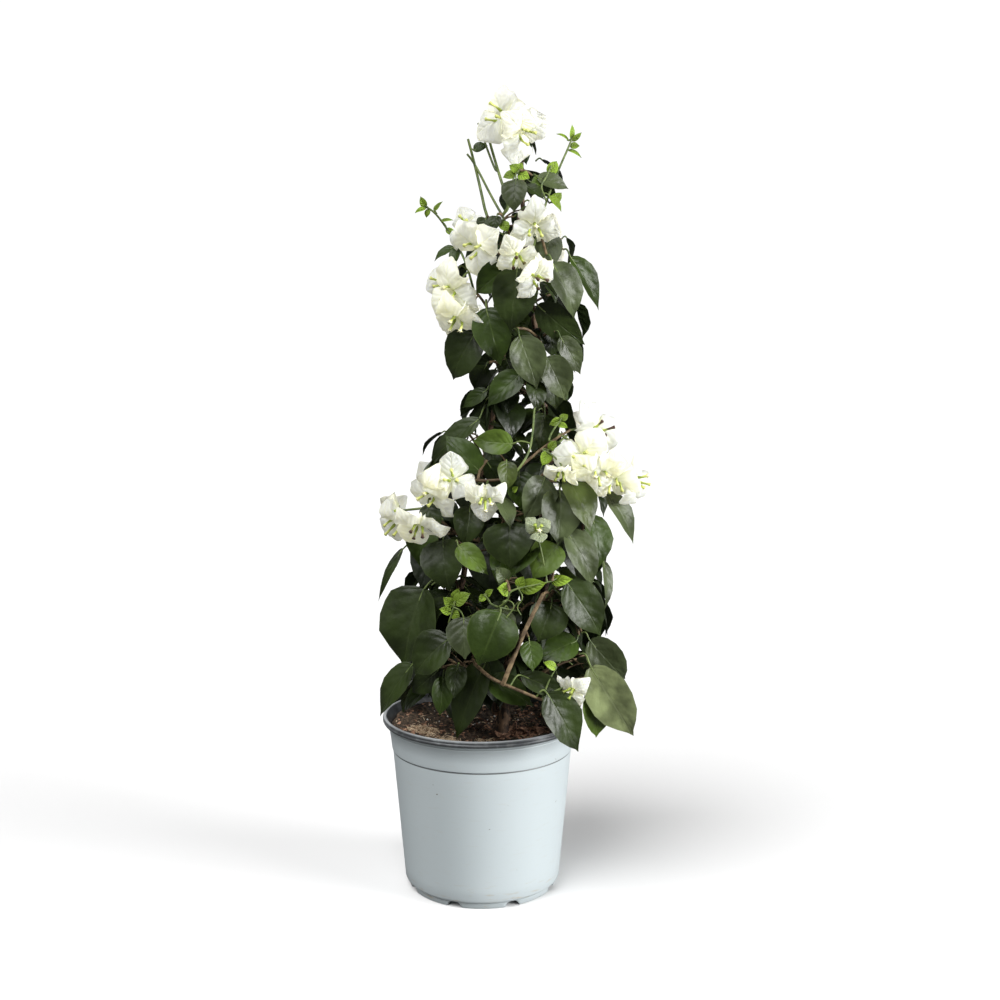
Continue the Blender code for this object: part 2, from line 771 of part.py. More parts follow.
def grow_twig(mass, share, tip, outward, length):
    """A twig from the mass's stem to tip, arched upwards, with leaves along it."""
    root = along(mass.stem, share)
    middle = root.lerp(tip, 0.5) + Vector((0.0, 0.0, TWIG_ARCH * (tip - root).length))
    twig = bezier(root, middle, tip, TWIG_STEPS)
    radii = tapered(TWIG_RADII, TWIG_STEPS)
    if not mass.add_rod(twig, radii):
        return False
    last = grow_leaf(mass, twig, 1.0, length, 0.0, outward)
    if last:
        mass.end_twig_in_leaf(twig, radii, last)
    side = mass.chance.choice((-1.0, 1.0))
    for place, swing in zip(LEAF_PLACES, LEAF_SWINGS):
        grow_leaf(mass, twig, place, length, swing * side, outward)
    return True


def grow_spray(mass, half, low, high, across, length):
    """One twig towards the outline, at a share across the mass's sector and a chosen height."""
    for _ in range(TRIES):
        wander = mass.chance.uniform(-SPRAY_WANDER, SPRAY_WANDER)
        outward = mass.azimuth + half * (across * SPRAY_SPREAD + wander)
        height = mass.chance.uniform(low, high)
        edge = crown_radius(height, outward) - LEAF_OVERHANG * length
        tip = crown_point(height, outward, edge * mass.chance.uniform(*TIP_REACHES))
        if grow_twig(mass, mass.chance.uniform(*TWIG_PLACES), tip, outward, length):
            return


def grow_shoot(mass, start_height, tip_height, reach, leaves):
    """A young shoot: a long bare stem with small leaves in a spiral near its tip."""
    tip = crown_point(tip_height, mass.azimuth, reach)
    grow_stem(mass, start_height, tip, SHOOT_RADII, SHOOT_STEPS)
    for index in range(leaves):
        root = along(mass.stem, 1.0 - SHOOT_LEAFY_SHARE * index / leaves)
        if index == 0:
            root -= (tip - mass.stem[-2]).normalized() * LEAF_SINK
        for _ in range(TRIES):
            wander = mass.chance.uniform(-SHOOT_LEAF_WANDER, SHOOT_LEAF_WANDER)
            swing = GOLDEN_TURN * index + wander
            first = mass.chance.uniform(*SHOOT_LEAF_FIRST)
            droops = (first, mass.chance.uniform(*SHOOT_LEAF_LAST))
            size = SHOOT_LEAF * mass.chance.uniform(*SHOOT_LEAF_SIZES)
            if mass.add_blade(new_leaf(root, mass.azimuth, swing, droops, 0.0, size), []):
                break


def grow_top(mass):
    """The stem on the front leader's tip, which carries the topmost blooms and small leaves."""
    tip = leader_point("leader_front", 1.0)
    onward = (tip - leader_point("leader_front", 0.97)).normalized()
    start = tip + onward * TOP_GAP
    end = line_point(TOP_HEIGHT)
    mass.stem = bezier(start, start.lerp(end, 0.5), end, STEM_STEPS)
    mass.add_rod(mass.stem, tapered(STEM_RADII, STEM_STEPS))


def angle_between(one, other):
    return abs((one - other + 180.0) % 360.0 - 180.0)


def fuse(mass, collection, finish):
    """Joins the mass's pieces into one closed mesh with a single Boolean union."""
    pile = bpy.data.collections.new(mass.name + "_pieces")
    loose = []
    for form in mass.pieces:
        mesh = bpy.data.meshes.new(mass.name)
        form.to_mesh(mesh)
        form.free()
        loose.append(bpy.data.objects.new(mass.name + "_piece", mesh))
    for piece in loose[1:]:
        pile.objects.link(piece)
    bpy.context.scene.collection.objects.link(loose[0])
    bpy.context.scene.collection.children.link(pile)
    union = loose[0].modifiers.new("fuse", "BOOLEAN")
    union.operation = "UNION"
    union.operand_type = "COLLECTION"
    union.collection = pile
    union.solver = "MANIFOLD"
    joined = evaluated_mesh(loose[0])
    for piece in loose:
        bpy.data.objects.remove(piece)
    bpy.data.collections.remove(pile)
    return new_object(mass.name, joined, collection, finish)


def grow_crown(crown):
    """Grows every stem, then every bloom, then the twigs and leaves, tier by tier from the top."""
    top = Mass(TOP_NAME, 0.0, SEED, crown)
    grow_top(top)
    for index, (name, row) in enumerate(SHOOTS.items()):
        start_height, azimuth, tip_height, reach, leaves = row
        shoot = Mass(name, azimuth, SEED + 10 + index, crown)
        grow_shoot(shoot, start_height, tip_height, reach, leaves)
    tiers = {}
    for level, (tier, row) in enumerate(reversed(TIERS.items())):
        low, high, count, first = row[:4]
        tiers[tier] = []
        for index in range(count):
            azimuth = first + index * 360.0 / count
            seed = SEED + 100 * (level + 1) + index
            mass = Mass(f"foliage_{tier}_{index + 1}", azimuth, seed, crown)
            height = mix(low, high, 0.5)
            reach = crown_radius(height, azimuth) * STEM_REACH
            target = crown_point(height, azimuth, reach)
            grow_stem(mass, height - STEM_RISE_TO, target, STEM_RADII, STEM_STEPS)
            tiers[tier].append(mass)
    for bloom in BLOOMS:
        if bloom[1] > TOP_BLOOMS_FROM:
            grow_bloom(top, *bloom)
        for tier, masses in tiers.items():
            low, high = TIERS[tier][0] - BLOOM_SLACK[0], TIERS[tier][1] + BLOOM_SLACK[1]
            if low <= bloom[1] < high:
                nearest = min(masses, key=lambda mass: angle_between(bloom[0], mass.azimuth))
                grow_bloom(nearest, *bloom)
    for index in range(TOP_TWIGS):
        top.azimuth = GOLDEN_TURN * index
        grow_spray(top, TOP_SECTOR, *TOP_TWIG_HEIGHTS, 0.0, TOP_LEAF)
    for tier, masses in tiers.items():
        low, high, count, _, length, twigs = TIERS[tier]
        for index in range(twigs):
            across = (index + 0.5) / twigs * 2.0 - 1.0
            for mass in masses:
                grow_spray(mass, 180.0 / count, low, high, across, length)


def main():
    clear_scene()
    plant = bpy.data.collections.new("bougainvillea")
    cutters = bpy.data.collections.new("cutters")
    for made in (plant, cutters):
        bpy.context.scene.collection.children.link(made)
    cutters.hide_render = True
    finishes = {name: material(name) for name in COLORS}
    pot = make_pot(plant, cutters, finishes["pot"])
    soil = make_soil(plant, finishes["soil"])
    trunk = make_trunk(plant, finishes["stem"])
    leaders = make_leaders(plant, finishes["stem"])
    crown = Crown([pot, soil, trunk, *leaders.values()])
    grow_crown(crown)
    for mass in crown.masses:
        fuse(mass, plant, finishes["foliage"])
    return crown


main()
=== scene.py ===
"""The finish of a white bougainvillea trained as a slim cone in its round nursery pot.

Metres and degrees, Z up, the plant's best side towards -Y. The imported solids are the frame. The pot,
the soil and the limbs are modelled again where their solids stand. The crown grows again by the
solids' own rule, and is then carried on to finer twigs, more leaves and more blooms.
"""
import math
import random
from itertools import product

import bpy
import numpy as np
from mathutils import Matrix, Vector, noise
from mathutils.bvhtree import BVHTree
from mathutils.kdtree import KDTree


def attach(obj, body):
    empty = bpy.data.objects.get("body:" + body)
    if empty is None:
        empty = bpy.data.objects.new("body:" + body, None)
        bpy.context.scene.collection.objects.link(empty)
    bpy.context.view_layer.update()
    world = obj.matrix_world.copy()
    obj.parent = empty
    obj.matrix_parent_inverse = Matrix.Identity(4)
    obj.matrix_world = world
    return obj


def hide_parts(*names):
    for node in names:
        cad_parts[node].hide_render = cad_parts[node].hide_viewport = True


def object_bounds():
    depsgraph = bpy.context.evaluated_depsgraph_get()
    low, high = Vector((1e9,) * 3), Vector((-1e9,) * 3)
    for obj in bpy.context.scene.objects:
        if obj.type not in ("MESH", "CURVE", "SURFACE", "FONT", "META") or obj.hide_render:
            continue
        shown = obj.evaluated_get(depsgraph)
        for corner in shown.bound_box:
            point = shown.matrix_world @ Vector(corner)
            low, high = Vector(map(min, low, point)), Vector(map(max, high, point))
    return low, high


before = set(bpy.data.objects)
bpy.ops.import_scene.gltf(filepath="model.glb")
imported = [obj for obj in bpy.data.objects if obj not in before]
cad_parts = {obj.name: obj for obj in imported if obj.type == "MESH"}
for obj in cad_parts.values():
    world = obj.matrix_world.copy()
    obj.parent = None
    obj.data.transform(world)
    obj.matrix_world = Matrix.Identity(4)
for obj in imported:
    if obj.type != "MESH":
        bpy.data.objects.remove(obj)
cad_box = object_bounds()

# ------------------------------------------------------------------- floor, camera and studio light
# A plain pale floor carries the pot. The camera stands a little above the middle of the crown and
# looks slightly down. Broad soft light comes from the right and from overhead. Weak light from the
# left, from the front and from behind fills the shadows.

FLOOR_HALF = 40.0
FLOOR_COLORS = ((0.740, 0.740, 0.740), (0.755, 0.755, 0.755))
FLOOR_BOUNCE = (0.16, 0.16, 0.16)
CAMERA_PLACE = (0.016, -1.0923, 0.4703)
CAMERA_DIP = 6.51
VIEW_ANGLE = 43.56
SENSOR = 36.0
# name: (direction towards the light, strength, how wide it looks in degrees)
LIGHTS = {
    "overhead": ((-0.40, -0.60, 1.0), 3.70, 46.0),
    "from_the_right": ((0.96, -0.36, 0.14), 7.60, 34.0),
    "from_the_left": ((-0.90, -0.45, 0.30), 0.62, 60.0),
    "from_the_front": ((0.10, -1.00, 0.45), 0.20, 40.0),
    "from_behind": ((-0.30, 1.00, 0.50), 0.70, 70.0),
}
SKY_SEEN = 1.05
SKY_LIGHT = 0.025
SKY_SEEN_COLOR = (1.0, 1.0, 1.0, 1.0)
SKY_LIGHT_COLOR = (0.97, 0.985, 1.0, 1.0)


def add_node(tree, kind, inputs=None, **settings):
    """Adds a node to a tree. A socket among the inputs is joined on, any other value is set."""
    made = tree.nodes.new(kind)
    for name, value in settings.items():
        setattr(made, name, value)
    for name, value in (inputs or {}).items():
        if isinstance(value, bpy.types.NodeSocket):
            tree.links.new(value, made.inputs[name])
        else:
            made.inputs[name].default_value = value
    return made


def mixed(tree, share, first, second):
    """A colour between two others, and the socket that it comes out of."""
    made = add_node(tree, "ShaderNodeMix", None, data_type="RGBA")
    for name, kind, value in (("Factor", "VALUE", share), ("A", "RGBA", first), ("B", "RGBA", second)):
        socket = next(s for s in made.inputs if s.name == name and s.type == kind)
        if isinstance(value, bpy.types.NodeSocket):
            tree.links.new(value, socket)
        else:
            socket.default_value = (*value, 1.0) if kind == "RGBA" else value
    return next(s for s in made.outputs if s.type == "RGBA")


def new_tree(name, kind, entering, leaving):
    """An empty node tree with its named sockets, what enters it and the node that it leaves by."""
    tree = bpy.data.node_groups.new(name, kind)
    for direction, sockets in (("INPUT", entering), ("OUTPUT", leaving)):
        for socket, value_kind in sockets.items():
            tree.interface.new_socket(socket, in_out=direction, socket_type="NodeSocket" + value_kind)
    given = tree.nodes.new("NodeGroupInput").outputs
    return tree, given, tree.nodes.new("NodeGroupOutput").inputs


def grain_group():
    """Noise in a piece's own space, stretched along its axes, for every material that has a grain."""
    sockets = {"Scale": "Float", "Detail": "Float", "Stretch": "Vector"}
    tree, given, leaving = new_tree("surface_grain", "ShaderNodeTree", sockets, {"Grain": "Float"})
    place = add_node(tree, "ShaderNodeTexCoord").outputs["Object"]
    lay = add_node(tree, "ShaderNodeMapping", {"Vector": place, "Scale": given["Stretch"]})
    inputs = {"Vector": lay.outputs["Vector"], "Scale": given["Scale"], "Detail": given["Detail"]}
    tree.links.new(add_node(tree, "ShaderNodeTexNoise", inputs).outputs["Fac"], leaving["Grain"])
    return tree


surface_grain = grain_group()


def grain(tree, scale, detail=3.0, stretch=(1.0, 1.0, 1.0)):
    """The shared grain in a material, at a scale of its own."""
    inputs = {"Scale": scale, "Detail": detail, "Stretch": stretch}
    return add_node(tree, "ShaderNodeGroup", inputs, node_tree=surface_grain).outputs["Grain"]


def new_finish(name, **constants):
    """A material with one shader. The constants are set on the shader's own sockets."""
    finish = bpy.data.materials.new(name)
    finish.use_nodes = True
    shader = finish.node_tree.nodes["Principled BSDF"]
    for socket, value in constants.items():
        shader.inputs[socket.replace("_", " ")].default_value = value
    return finish, finish.node_tree, shader


def join_up(tree, shader, color=None, roughness=None, relief=None, depth=0.001, strength=1.0):
    """Joins a pattern's colour, roughness and relief to a shader. depth is the relief's in metres."""
    if color is not None:
        tree.links.new(color, shader.inputs["Base Color"])
    if roughness is not None:
        tree.links.new(roughness, shader.inputs["Roughness"])
    if relief is not None:
        inputs = {"Height": relief, "Distance": depth, "Strength": strength}
        bump = add_node(tree, "ShaderNodeBump", inputs)
        tree.links.new(bump.outputs["Normal"], shader.inputs["Normal"])


floor_finish, tree, shader = new_finish("floor", Roughness=0.9, Specular_IOR_Level=0.0)
straight = add_node(tree, "ShaderNodeLightPath").outputs["Is Camera Ray"]
paper = mixed(tree, grain(tree, 3.0), *FLOOR_COLORS)
join_up(tree, shader, mixed(tree, straight, FLOOR_BOUNCE, paper))
corners = [(-1, -1), (1, -1), (1, 1), (-1, 1)]
floor_mesh = bpy.data.meshes.new("floor")
floor_mesh.from_pydata([(x * FLOOR_HALF, y * FLOOR_HALF, 0.0) for x, y in corners], [], [(0, 1, 2, 3)])
floor = bpy.data.objects.new("floor", floor_mesh)
floor_mesh.materials.append(floor_finish)
bpy.context.scene.collection.objects.link(floor)

camera = bpy.data.objects.new("camera", bpy.data.cameras.new("camera"))
camera.data.sensor_width = SENSOR
camera.data.lens = SENSOR / 2 / math.tan(math.radians(VIEW_ANGLE / 2))
camera.location = CAMERA_PLACE
camera.rotation_euler = (math.radians(90.0 - CAMERA_DIP), 0.0, 0.0)
bpy.context.scene.collection.objects.link(camera)
bpy.context.scene.camera = camera

for name, (toward, strength, width) in LIGHTS.items():
    light = bpy.data.objects.new(name, bpy.data.lights.new(name, "SUN"))
    light.data.energy = strength
    light.data.angle = math.radians(width)
    light.rotation_euler = Vector(toward).to_track_quat("Z", "Y").to_euler()
    bpy.context.scene.collection.objects.link(light)

world = bpy.data.worlds.new("sky")
world.use_nodes = True
bpy.context.scene.world = world
tree = world.node_tree
lit = tree.nodes["Background"]
lit.inputs["Color"].default_value = SKY_LIGHT_COLOR
lit.inputs["Strength"].default_value = SKY_LIGHT
seen = add_node(tree, "ShaderNodeBackground", {"Color": SKY_SEEN_COLOR, "Strength": SKY_SEEN})
ray = add_node(tree, "ShaderNodeLightPath")
either = add_node(tree, "ShaderNodeMixShader", {0: ray.outputs["Is Camera Ray"]})
tree.links.new(lit.outputs[0], either.inputs[1])
tree.links.new(seen.outputs[0], either.inputs[2])
tree.links.new(either.outputs[0], tree.nodes["World Output"].inputs["Surface"])
bpy.context.scene.view_settings.view_transform = "Standard"

# ---------------------------------------------------------------------------------------------- pot
# A thin-walled nursery pot, blow-moulded from plastic that is white outside and dark inside. The dark
# shows at its rolled lip, which has two ridges. Eight drain notches are moulded into the foot.

POT_HEIGHT = 0.1542
POT_TURNS = 240
LIP_RADIUS = 0.0885
RIDGE_RADIUS = 0.0010
RIDGE_HEIGHTS = (0.1527, 0.1504)
LIP_FOOT = 0.1485
WALL_TOP_RADIUS = 0.0835
LEDGE_HEIGHT = 0.1447
LEDGE_REACH = 0.0005
STEP_HEIGHT = 0.1245
STEP_RADIUS = 0.0803
STEP_INSET = 0.0005
STEP_GROOVE = 0.0008
WALL_FOOT_RADIUS = 0.0692
FOOT_HEIGHT = 0.006
FOOT_RADIUS = 0.0660
POT_WALL = 0.0016
POT_FLOOR = 0.0072
NOTCHES = 8
NOTCH_WIDTH = 0.013
NOTCH_HEIGHT = 0.0052
NOTCH_REACH = 0.010
NOTCH_TURN = -66.0
WALL_RINGS = 12


class Form:
    """A mesh while it is put together, with a place on the flat for each corner of its faces."""

    def __init__(self):
        self.points = []
        self.faces = []
        self.flats = []
        self.kinds = []
        self.rims = set()

    def add(self, points, faces, flats, kinds, rims=()):
        """Adds points and faces. The faces and rims count from the first of these points."""
        first = len(self.points)
        self.points += points
        self.faces += [tuple(first + corner for corner in face) for face in faces]
        self.flats += flats
        self.kinds += kinds
        self.rims.update(first + corner for corner in rims)

    def finished(self, name, finishes, slot, replaced=()):
        """Makes the piece, which rides with the pot and stands for the replaced solids."""
        mesh = bpy.data.meshes.new(name)
        mesh.from_pydata(self.points, [], self.faces)
        for finish in finishes:
            mesh.materials.append(finish)
        mesh.polygons.foreach_set("material_index", self.kinds)
        mesh.polygons.foreach_set("use_smooth", [True] * len(self.faces))
        layer = mesh.uv_layers.new(name="flat")
        pairs = [pair for flat in self.flats for pair in flat]
        layer.data.foreach_set("uv", np.array(pairs, np.float32).ravel())
        if self.rims:
            on_rim = np.zeros(len(self.points), bool)
            on_rim[list(self.rims)] = True
            ends = np.zeros(len(mesh.edges) * 2, np.int32)
            mesh.edges.foreach_get("vertices", ends)
            sharp = on_rim[ends].reshape(-1, 2).all(axis=1)
            mesh.attributes.new("sharp_edge", "BOOLEAN", "EDGE").data.foreach_set("value", sharp)
        mesh.update()
        return settled(bpy.data.objects.new(name, mesh), replaced)


def settled(piece, replaced=()):
    """Puts a finished piece into the scene, on the plant's one body."""
    if piece.name not in bpy.context.scene.collection.objects:
        bpy.context.scene.collection.objects.link(piece)
    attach(piece, "root")
    if replaced:
        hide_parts(*replaced)
    return piece


def mix(low, high, share):
    return low + (high - low) * share


def unit(azimuth, elevation=0.0):
    """Unit vector at an azimuth about +Z and an elevation above the horizon."""
    a, e = math.radians(azimuth), math.radians(elevation)
    return Vector((math.cos(a) * math.cos(e), math.sin(a) * math.cos(e), math.sin(e)))


def wall_radius(height):
    """Outer radius of the wall under the step."""
    share = (height - FOOT_HEIGHT) / (STEP_HEIGHT - FOOT_HEIGHT)
    return mix(WALL_FOOT_RADIUS, STEP_RADIUS - STEP_INSET, share)


def ridge(height):
    """One of the lip's two ridges, as a half round from above to below."""
    middle = LIP_RADIUS - RIDGE_RADIUS
    turns = [math.radians(angle) for angle in range(72, -73, -24)]
    return [(middle + RIDGE_RADIUS * math.cos(turn), height + RIDGE_RADIUS * math.sin(turn), 1)
            for turn in turns]


def notch_lift(azimuth):
    """How far a drain notch lifts the foot's edge at an azimuth, as a round arch."""
    pitch = 360.0 / NOTCHES
    off = (azimuth - NOTCH_TURN + pitch / 2) % pitch - pitch / 2
    share = math.radians(off) * FOOT_RADIUS / (NOTCH_WIDTH / 2)
    return NOTCH_HEIGHT * math.sqrt(max(1.0 - share * share, 0.0)) if abs(share) < 1.0 else 0.0


# The section as (radius, height, finish), finish 0 white and 1 dark, from the lip down and round
section = [(LIP_RADIUS - 0.0030, POT_HEIGHT - 0.0004, 1), (LIP_RADIUS - 0.0022, POT_HEIGHT, 1)]
for height in RIDGE_HEIGHTS:
    section += ridge(height)
section += [
    (LIP_RADIUS - 0.0010, LIP_FOOT, 0),
    (WALL_TOP_RADIUS + 0.0024, LIP_FOOT - 0.0007, 0),
    (WALL_TOP_RADIUS + 0.0009, LIP_FOOT - 0.0018, 0),
    (WALL_TOP_RADIUS + 0.0003, LIP_FOOT - 0.0030, 0),
    (WALL_TOP_RADIUS - 0.0003, LEDGE_HEIGHT + 0.0006, 0),
    (WALL_TOP_RADIUS - 0.0001 + LEDGE_REACH, LEDGE_HEIGHT, 0),
    (WALL_TOP_RADIUS - 0.0006, LEDGE_HEIGHT - 0.0008, 0),
    (STEP_RADIUS + 0.0011, STEP_HEIGHT + 0.0080, 0),
    (STEP_RADIUS + 0.0004, STEP_HEIGHT + 0.0020, 0),
    (STEP_RADIUS + 0.0002, STEP_HEIGHT + 0.0008, 0),
    (STEP_RADIUS + 0.0001, STEP_HEIGHT + 0.0005, 0),
    (STEP_RADIUS - STEP_INSET - STEP_GROOVE, STEP_HEIGHT + 0.0001, 0),
    (STEP_RADIUS - STEP_INSET - 0.0001, STEP_HEIGHT - 0.0004, 0),
    (STEP_RADIUS - STEP_INSET - 0.0001, STEP_HEIGHT - 0.0007, 0),
]
for ring in range(1, WALL_RINGS):
    height = mix(STEP_HEIGHT - 0.0012, FOOT_HEIGHT + 0.0022, ring / (WALL_RINGS - 1))
    section.append((wall_radius(height), height, 0))
section += [
    (WALL_FOOT_RADIUS - 0.0006, FOOT_HEIGHT + 0.0004, 0),
    (WALL_FOOT_RADIUS - 0.0012, FOOT_HEIGHT - 0.0001, 0),
    (FOOT_RADIUS + 0.0003, FOOT_HEIGHT - 0.0008, 0),
    (FOOT_RADIUS, FOOT_HEIGHT - 0.0018, 0),
    (FOOT_RADIUS - 0.0004, 0.0004, 0),
    (FOOT_RADIUS - 0.0008, 0.0, 0),
    (FOOT_RADIUS - NOTCH_REACH, 0.0, 0),
]
lifted_rings = len(section)
section += [
    (FOOT_RADIUS - NOTCH_REACH - 0.0002, 0.0, 0),
    (FOOT_RADIUS * 0.4, 0.0, 0),
    (0.0, 0.0, 0),
    (0.0, POT_FLOOR, 1),
    (FOOT_RADIUS - POT_WALL, POT_FLOOR, 1),
    (wall_radius(0.014) - POT_WALL, 0.014, 1),
    (STEP_RADIUS - STEP_INSET - POT_WALL, STEP_HEIGHT, 1),
    (WALL_TOP_RADIUS - POT_WALL, LIP_FOOT, 1),
    (LIP_RADIUS - 0.0034, POT_HEIGHT - 0.0012, 1),
]


def turned(section, turns, shape):
    """A closed solid of revolution. shape(ring, azimuth, radius, height) gives a ring's real place."""
    form = Form()
    numbers = {}
    points = []
    for ring, (radius, height, _) in enumerate(section):
        for turn in range(turns if radius > 0.0 else 1):
            azimuth = 360.0 * turn / turns
            numbers[ring, turn] = len(points)
            radius_here, height_here = shape(ring, azimuth, radius, height)
            points.append(unit(azimuth) * radius_here + Vector((0.0, 0.0, height_here)))
    faces = []
    flats = []
    kinds = []
    rings = len(section)
    for ring in range(rings):
        lower = (ring + 1) % rings
        for turn in range(turns):
            following = (turn + 1) % turns
            loop = [(ring, turn), (lower, turn), (lower, following), (ring, following)]
            face = []
            for at_ring, at_turn in loop:
                number = numbers.get((at_ring, at_turn), numbers[at_ring, 0])
                if number not in face:
                    face.append(number)
            if len(face) > 2:
                faces.append(tuple(face))
                flats.append([(turn / turns, ring / rings)] * len(face))
                kinds.append(max(section[ring][2], section[lower][2]) if ring else 1)
    form.add(points, faces, flats, kinds)
    return form


def pot_shape(ring, azimuth, radius, height):
    """Lifts the foot's edge at the drain notches."""
    if ring < lifted_rings and height < NOTCH_HEIGHT + 0.001:
        height = max(height, notch_lift(azimuth))
    return radius, height


def math_node(tree, operation, first, second=0.0, third=0.0):
    """One sum on one, two or three values or sockets, and the socket that it comes out of."""
    inputs = {0: first, 1: second, 2: third}
    return add_node(tree, "ShaderNodeMath", inputs, operation=operation).outputs[0]


def times(tree, first, second):
    return math_node(tree, "MULTIPLY", first, second)


def scaled(tree, value, by, plus):
    """A value or socket times by, plus another."""
    return math_node(tree, "MULTIPLY_ADD", value, by, plus)


def between(tree, value, low, high):
    """0 where the value is at low or under, 1 at high or over, smooth between the two."""
    inputs = {"Value": value, "From Min": low, "From Max": high}
    made = add_node(tree, "ShaderNodeMapRange", inputs, interpolation_type="SMOOTHSTEP")
    return made.outputs["Result"]


def height_in(tree):
    """A socket that gives the height above the pot's foot."""
    place = add_node(tree, "ShaderNodeTexCoord").outputs["Object"]
    return add_node(tree, "ShaderNodeSeparateXYZ", {0: place}).outputs["Z"]


# Dust and painted shade darken these lines round the pot: (height, how much)
DUST_AND_SHADE_LINES = ((STEP_HEIGHT - 0.0004, 0.95), (LEDGE_HEIGHT + 0.0008, 0.26))
white_plastic, tree, shader = new_finish("white_plastic", IOR=1.46)
cloudy = grain(tree, 14.0, 4.0, (1.0, 1.0, 0.35))
fine = grain(tree, 900.0, 2.0)
specks = between(tree, grain(tree, 210.0, 2.0), 0.752, 0.790)
height = height_in(tree)
low_down = between(tree, height, 0.03, 0.0)
dust_and_painted_shade = None
for line, share in DUST_AND_SHADE_LINES:
    off = math_node(tree, "ABSOLUTE", math_node(tree, "SUBTRACT", height, line))
    here = times(tree, between(tree, off, 0.0008, 0.0003), share)
    dust_and_painted_shade = math_node(tree, "MAXIMUM", here, dust_and_painted_shade) if dust_and_painted_shade else here
scuffs = between(tree, grain(tree, 70.0, 6.0, (1.0, 1.0, 6.0)), 0.56, 0.74)
plain = mixed(tree, cloudy, (0.375, 0.424, 0.438), (0.412, 0.455, 0.468))
soiled = times(tree, scuffs, math_node(tree, "ADD", low_down, 0.12))
dusty = mixed(tree, soiled, plain, (0.36, 0.33, 0.27))
# Painted shade, with some dust, darkens the thin lines at the step and under the ledge
lined = mixed(tree, dust_and_painted_shade, dusty, (0.10, 0.11, 0.11))
spotted = mixed(tree, times(tree, specks, 0.75), lined, (0.10, 0.075, 0.05))
join_up(tree, shader, spotted, scaled(tree, cloudy, 0.22, 0.34), scaled(tree, fine, 0.15, cloudy),
        0.0006, 0.5)

dark_plastic, tree, shader = new_finish("dark_plastic", IOR=1.46)
worn = between(tree, grain(tree, 160.0, 5.0), 0.45, 0.75)
height = height_in(tree)
# Painted highlight: a pale band along the very top of the lip, where it catches the light
painted_top_highlight = times(tree, between(tree, height, POT_HEIGHT - 0.0009, POT_HEIGHT - 0.0003), 0.7)
body = mixed(tree, worn, (0.055, 0.060, 0.064), (0.130, 0.140, 0.145))
edge = mixed(tree, painted_top_highlight, body, (0.42, 0.44, 0.45))
join_up(tree, shader, edge, scaled(tree, worn, 0.2, 0.38), grain(tree, 700.0), 0.0003, 0.4)

pot = turned(section, POT_TURNS, pot_shape)
pot.finished("pot_moulding", (white_plastic, dark_plastic), "pot", ("pot",))

# --------------------------------------------------------------------------------------------- soil
# Damp peat fills the pot to just under the lip, lumpy on top. Bark chips, coir fibres and white
# grains of perlite lie strewn over it, half sunk.

SOIL_TOP = 0.1405
SOIL_GAP = 0.0004
SOIL_FOOT = 0.0080
SOIL_RINGS = 46
SOIL_TURNS = 150
SOIL_RELIEF = 0.0032
HIGHEST_BUMP = 0.35
SOIL_BANK = 0.0056
BANK_START = 0.045
BANK_WIDTH = 0.030
SOIL_GRAIN = 55.0
CLOD_GRAIN = 240.0
CLOD_RELIEF = 0.0014
TRUNK_FOOT = Vector((0.016, -0.018, SOIL_TOP + 0.0003))
TRUNK_PLOT = 0.010
TRUNK_PLOT_EDGE = 0.010
# name: (pieces to a square metre, smallest, largest, tilt, seed)
LITTER = {
    "bark_chips": (24000.0, 0.0024, 0.0085, 0.60, 5),
    "coir_fibres": (12000.0, 0.0050, 0.0130, 0.50, 9),
    "perlite": (2200.0, 0.0009, 0.0022, 3.0, 14),
}
LITTER_COLORS = {
    "bark_chips": ((0.110, 0.058, 0.036), (0.420, 0.240, 0.150), 0.85),
    "coir_fibres": ((0.340, 0.230, 0.140), (0.760, 0.600, 0.410), 0.80),
    "perlite": ((0.62, 0.60, 0.55), (0.85, 0.84, 0.80), 0.90),
}


def smooth(share):
    share = min(max(share, 0.0), 1.0)
    return share * share * (3.0 - 2.0 * share)


def soil_height(x, y):
    """The lumpy surface, which banks up at the wall and settles to flat round the trunk's foot."""
    bump = min(noise.noise(Vector((x * SOIL_GRAIN, y * SOIL_GRAIN, 3.7))), HIGHEST_BUMP) * SOIL_RELIEF
    clods = noise.fractal(Vector((x * CLOD_GRAIN, y * CLOD_GRAIN, 1.3)), 0.6, 2.1, 4) * CLOD_RELIEF
    from_trunk = math.hypot(x - TRUNK_FOOT.x, y - TRUNK_FOOT.y)
    bank = SOIL_BANK * smooth((math.hypot(x, y) - BANK_START) / BANK_WIDTH)
    return SOIL_TOP + bank + (bump + clods) * smooth((from_trunk - TRUNK_PLOT) / TRUNK_PLOT_EDGE)


soil_edge = WALL_TOP_RADIUS - POT_WALL - SOIL_GAP - 0.0007
soil_section = [(0.0, SOIL_TOP, 0)]
soil_section += [(soil_edge * ring / SOIL_RINGS, SOIL_TOP, 0) for ring in range(1, SOIL_RINGS + 1)]
soil_section += [
    (STEP_RADIUS - STEP_INSET - POT_WALL - 2 * SOIL_GAP, STEP_HEIGHT, 0),
    (wall_radius(0.016) - POT_WALL - 2 * SOIL_GAP, 0.016, 0),
    (FOOT_RADIUS - POT_WALL - 2 * SOIL_GAP, SOIL_FOOT, 0),
    (0.0, SOIL_FOOT, 0),
]


def soil_shape(ring, azimuth, radius, height):
    """Gives the soil's top its relief."""
    place = unit(azimuth) * radius
    return radius, soil_height(place.x, place.y) if height == SOIL_TOP else height


def blotch_group():
    """One colour where a pattern is low and another where it is high, for every material in blotches."""
    sockets = {"Pattern": "Float", "Low": "Float", "High": "Float", "First": "Color", "Second": "Color"}
    tree, given, leaving = new_tree("surface_blotches", "ShaderNodeTree", sockets, {"Color": "Color"})
    share = between(tree, given["Pattern"], given["Low"], given["High"])
    tree.links.new(mixed(tree, share, given["First"], given["Second"]), leaving["Color"])
    return tree


surface_blotches = blotch_group()


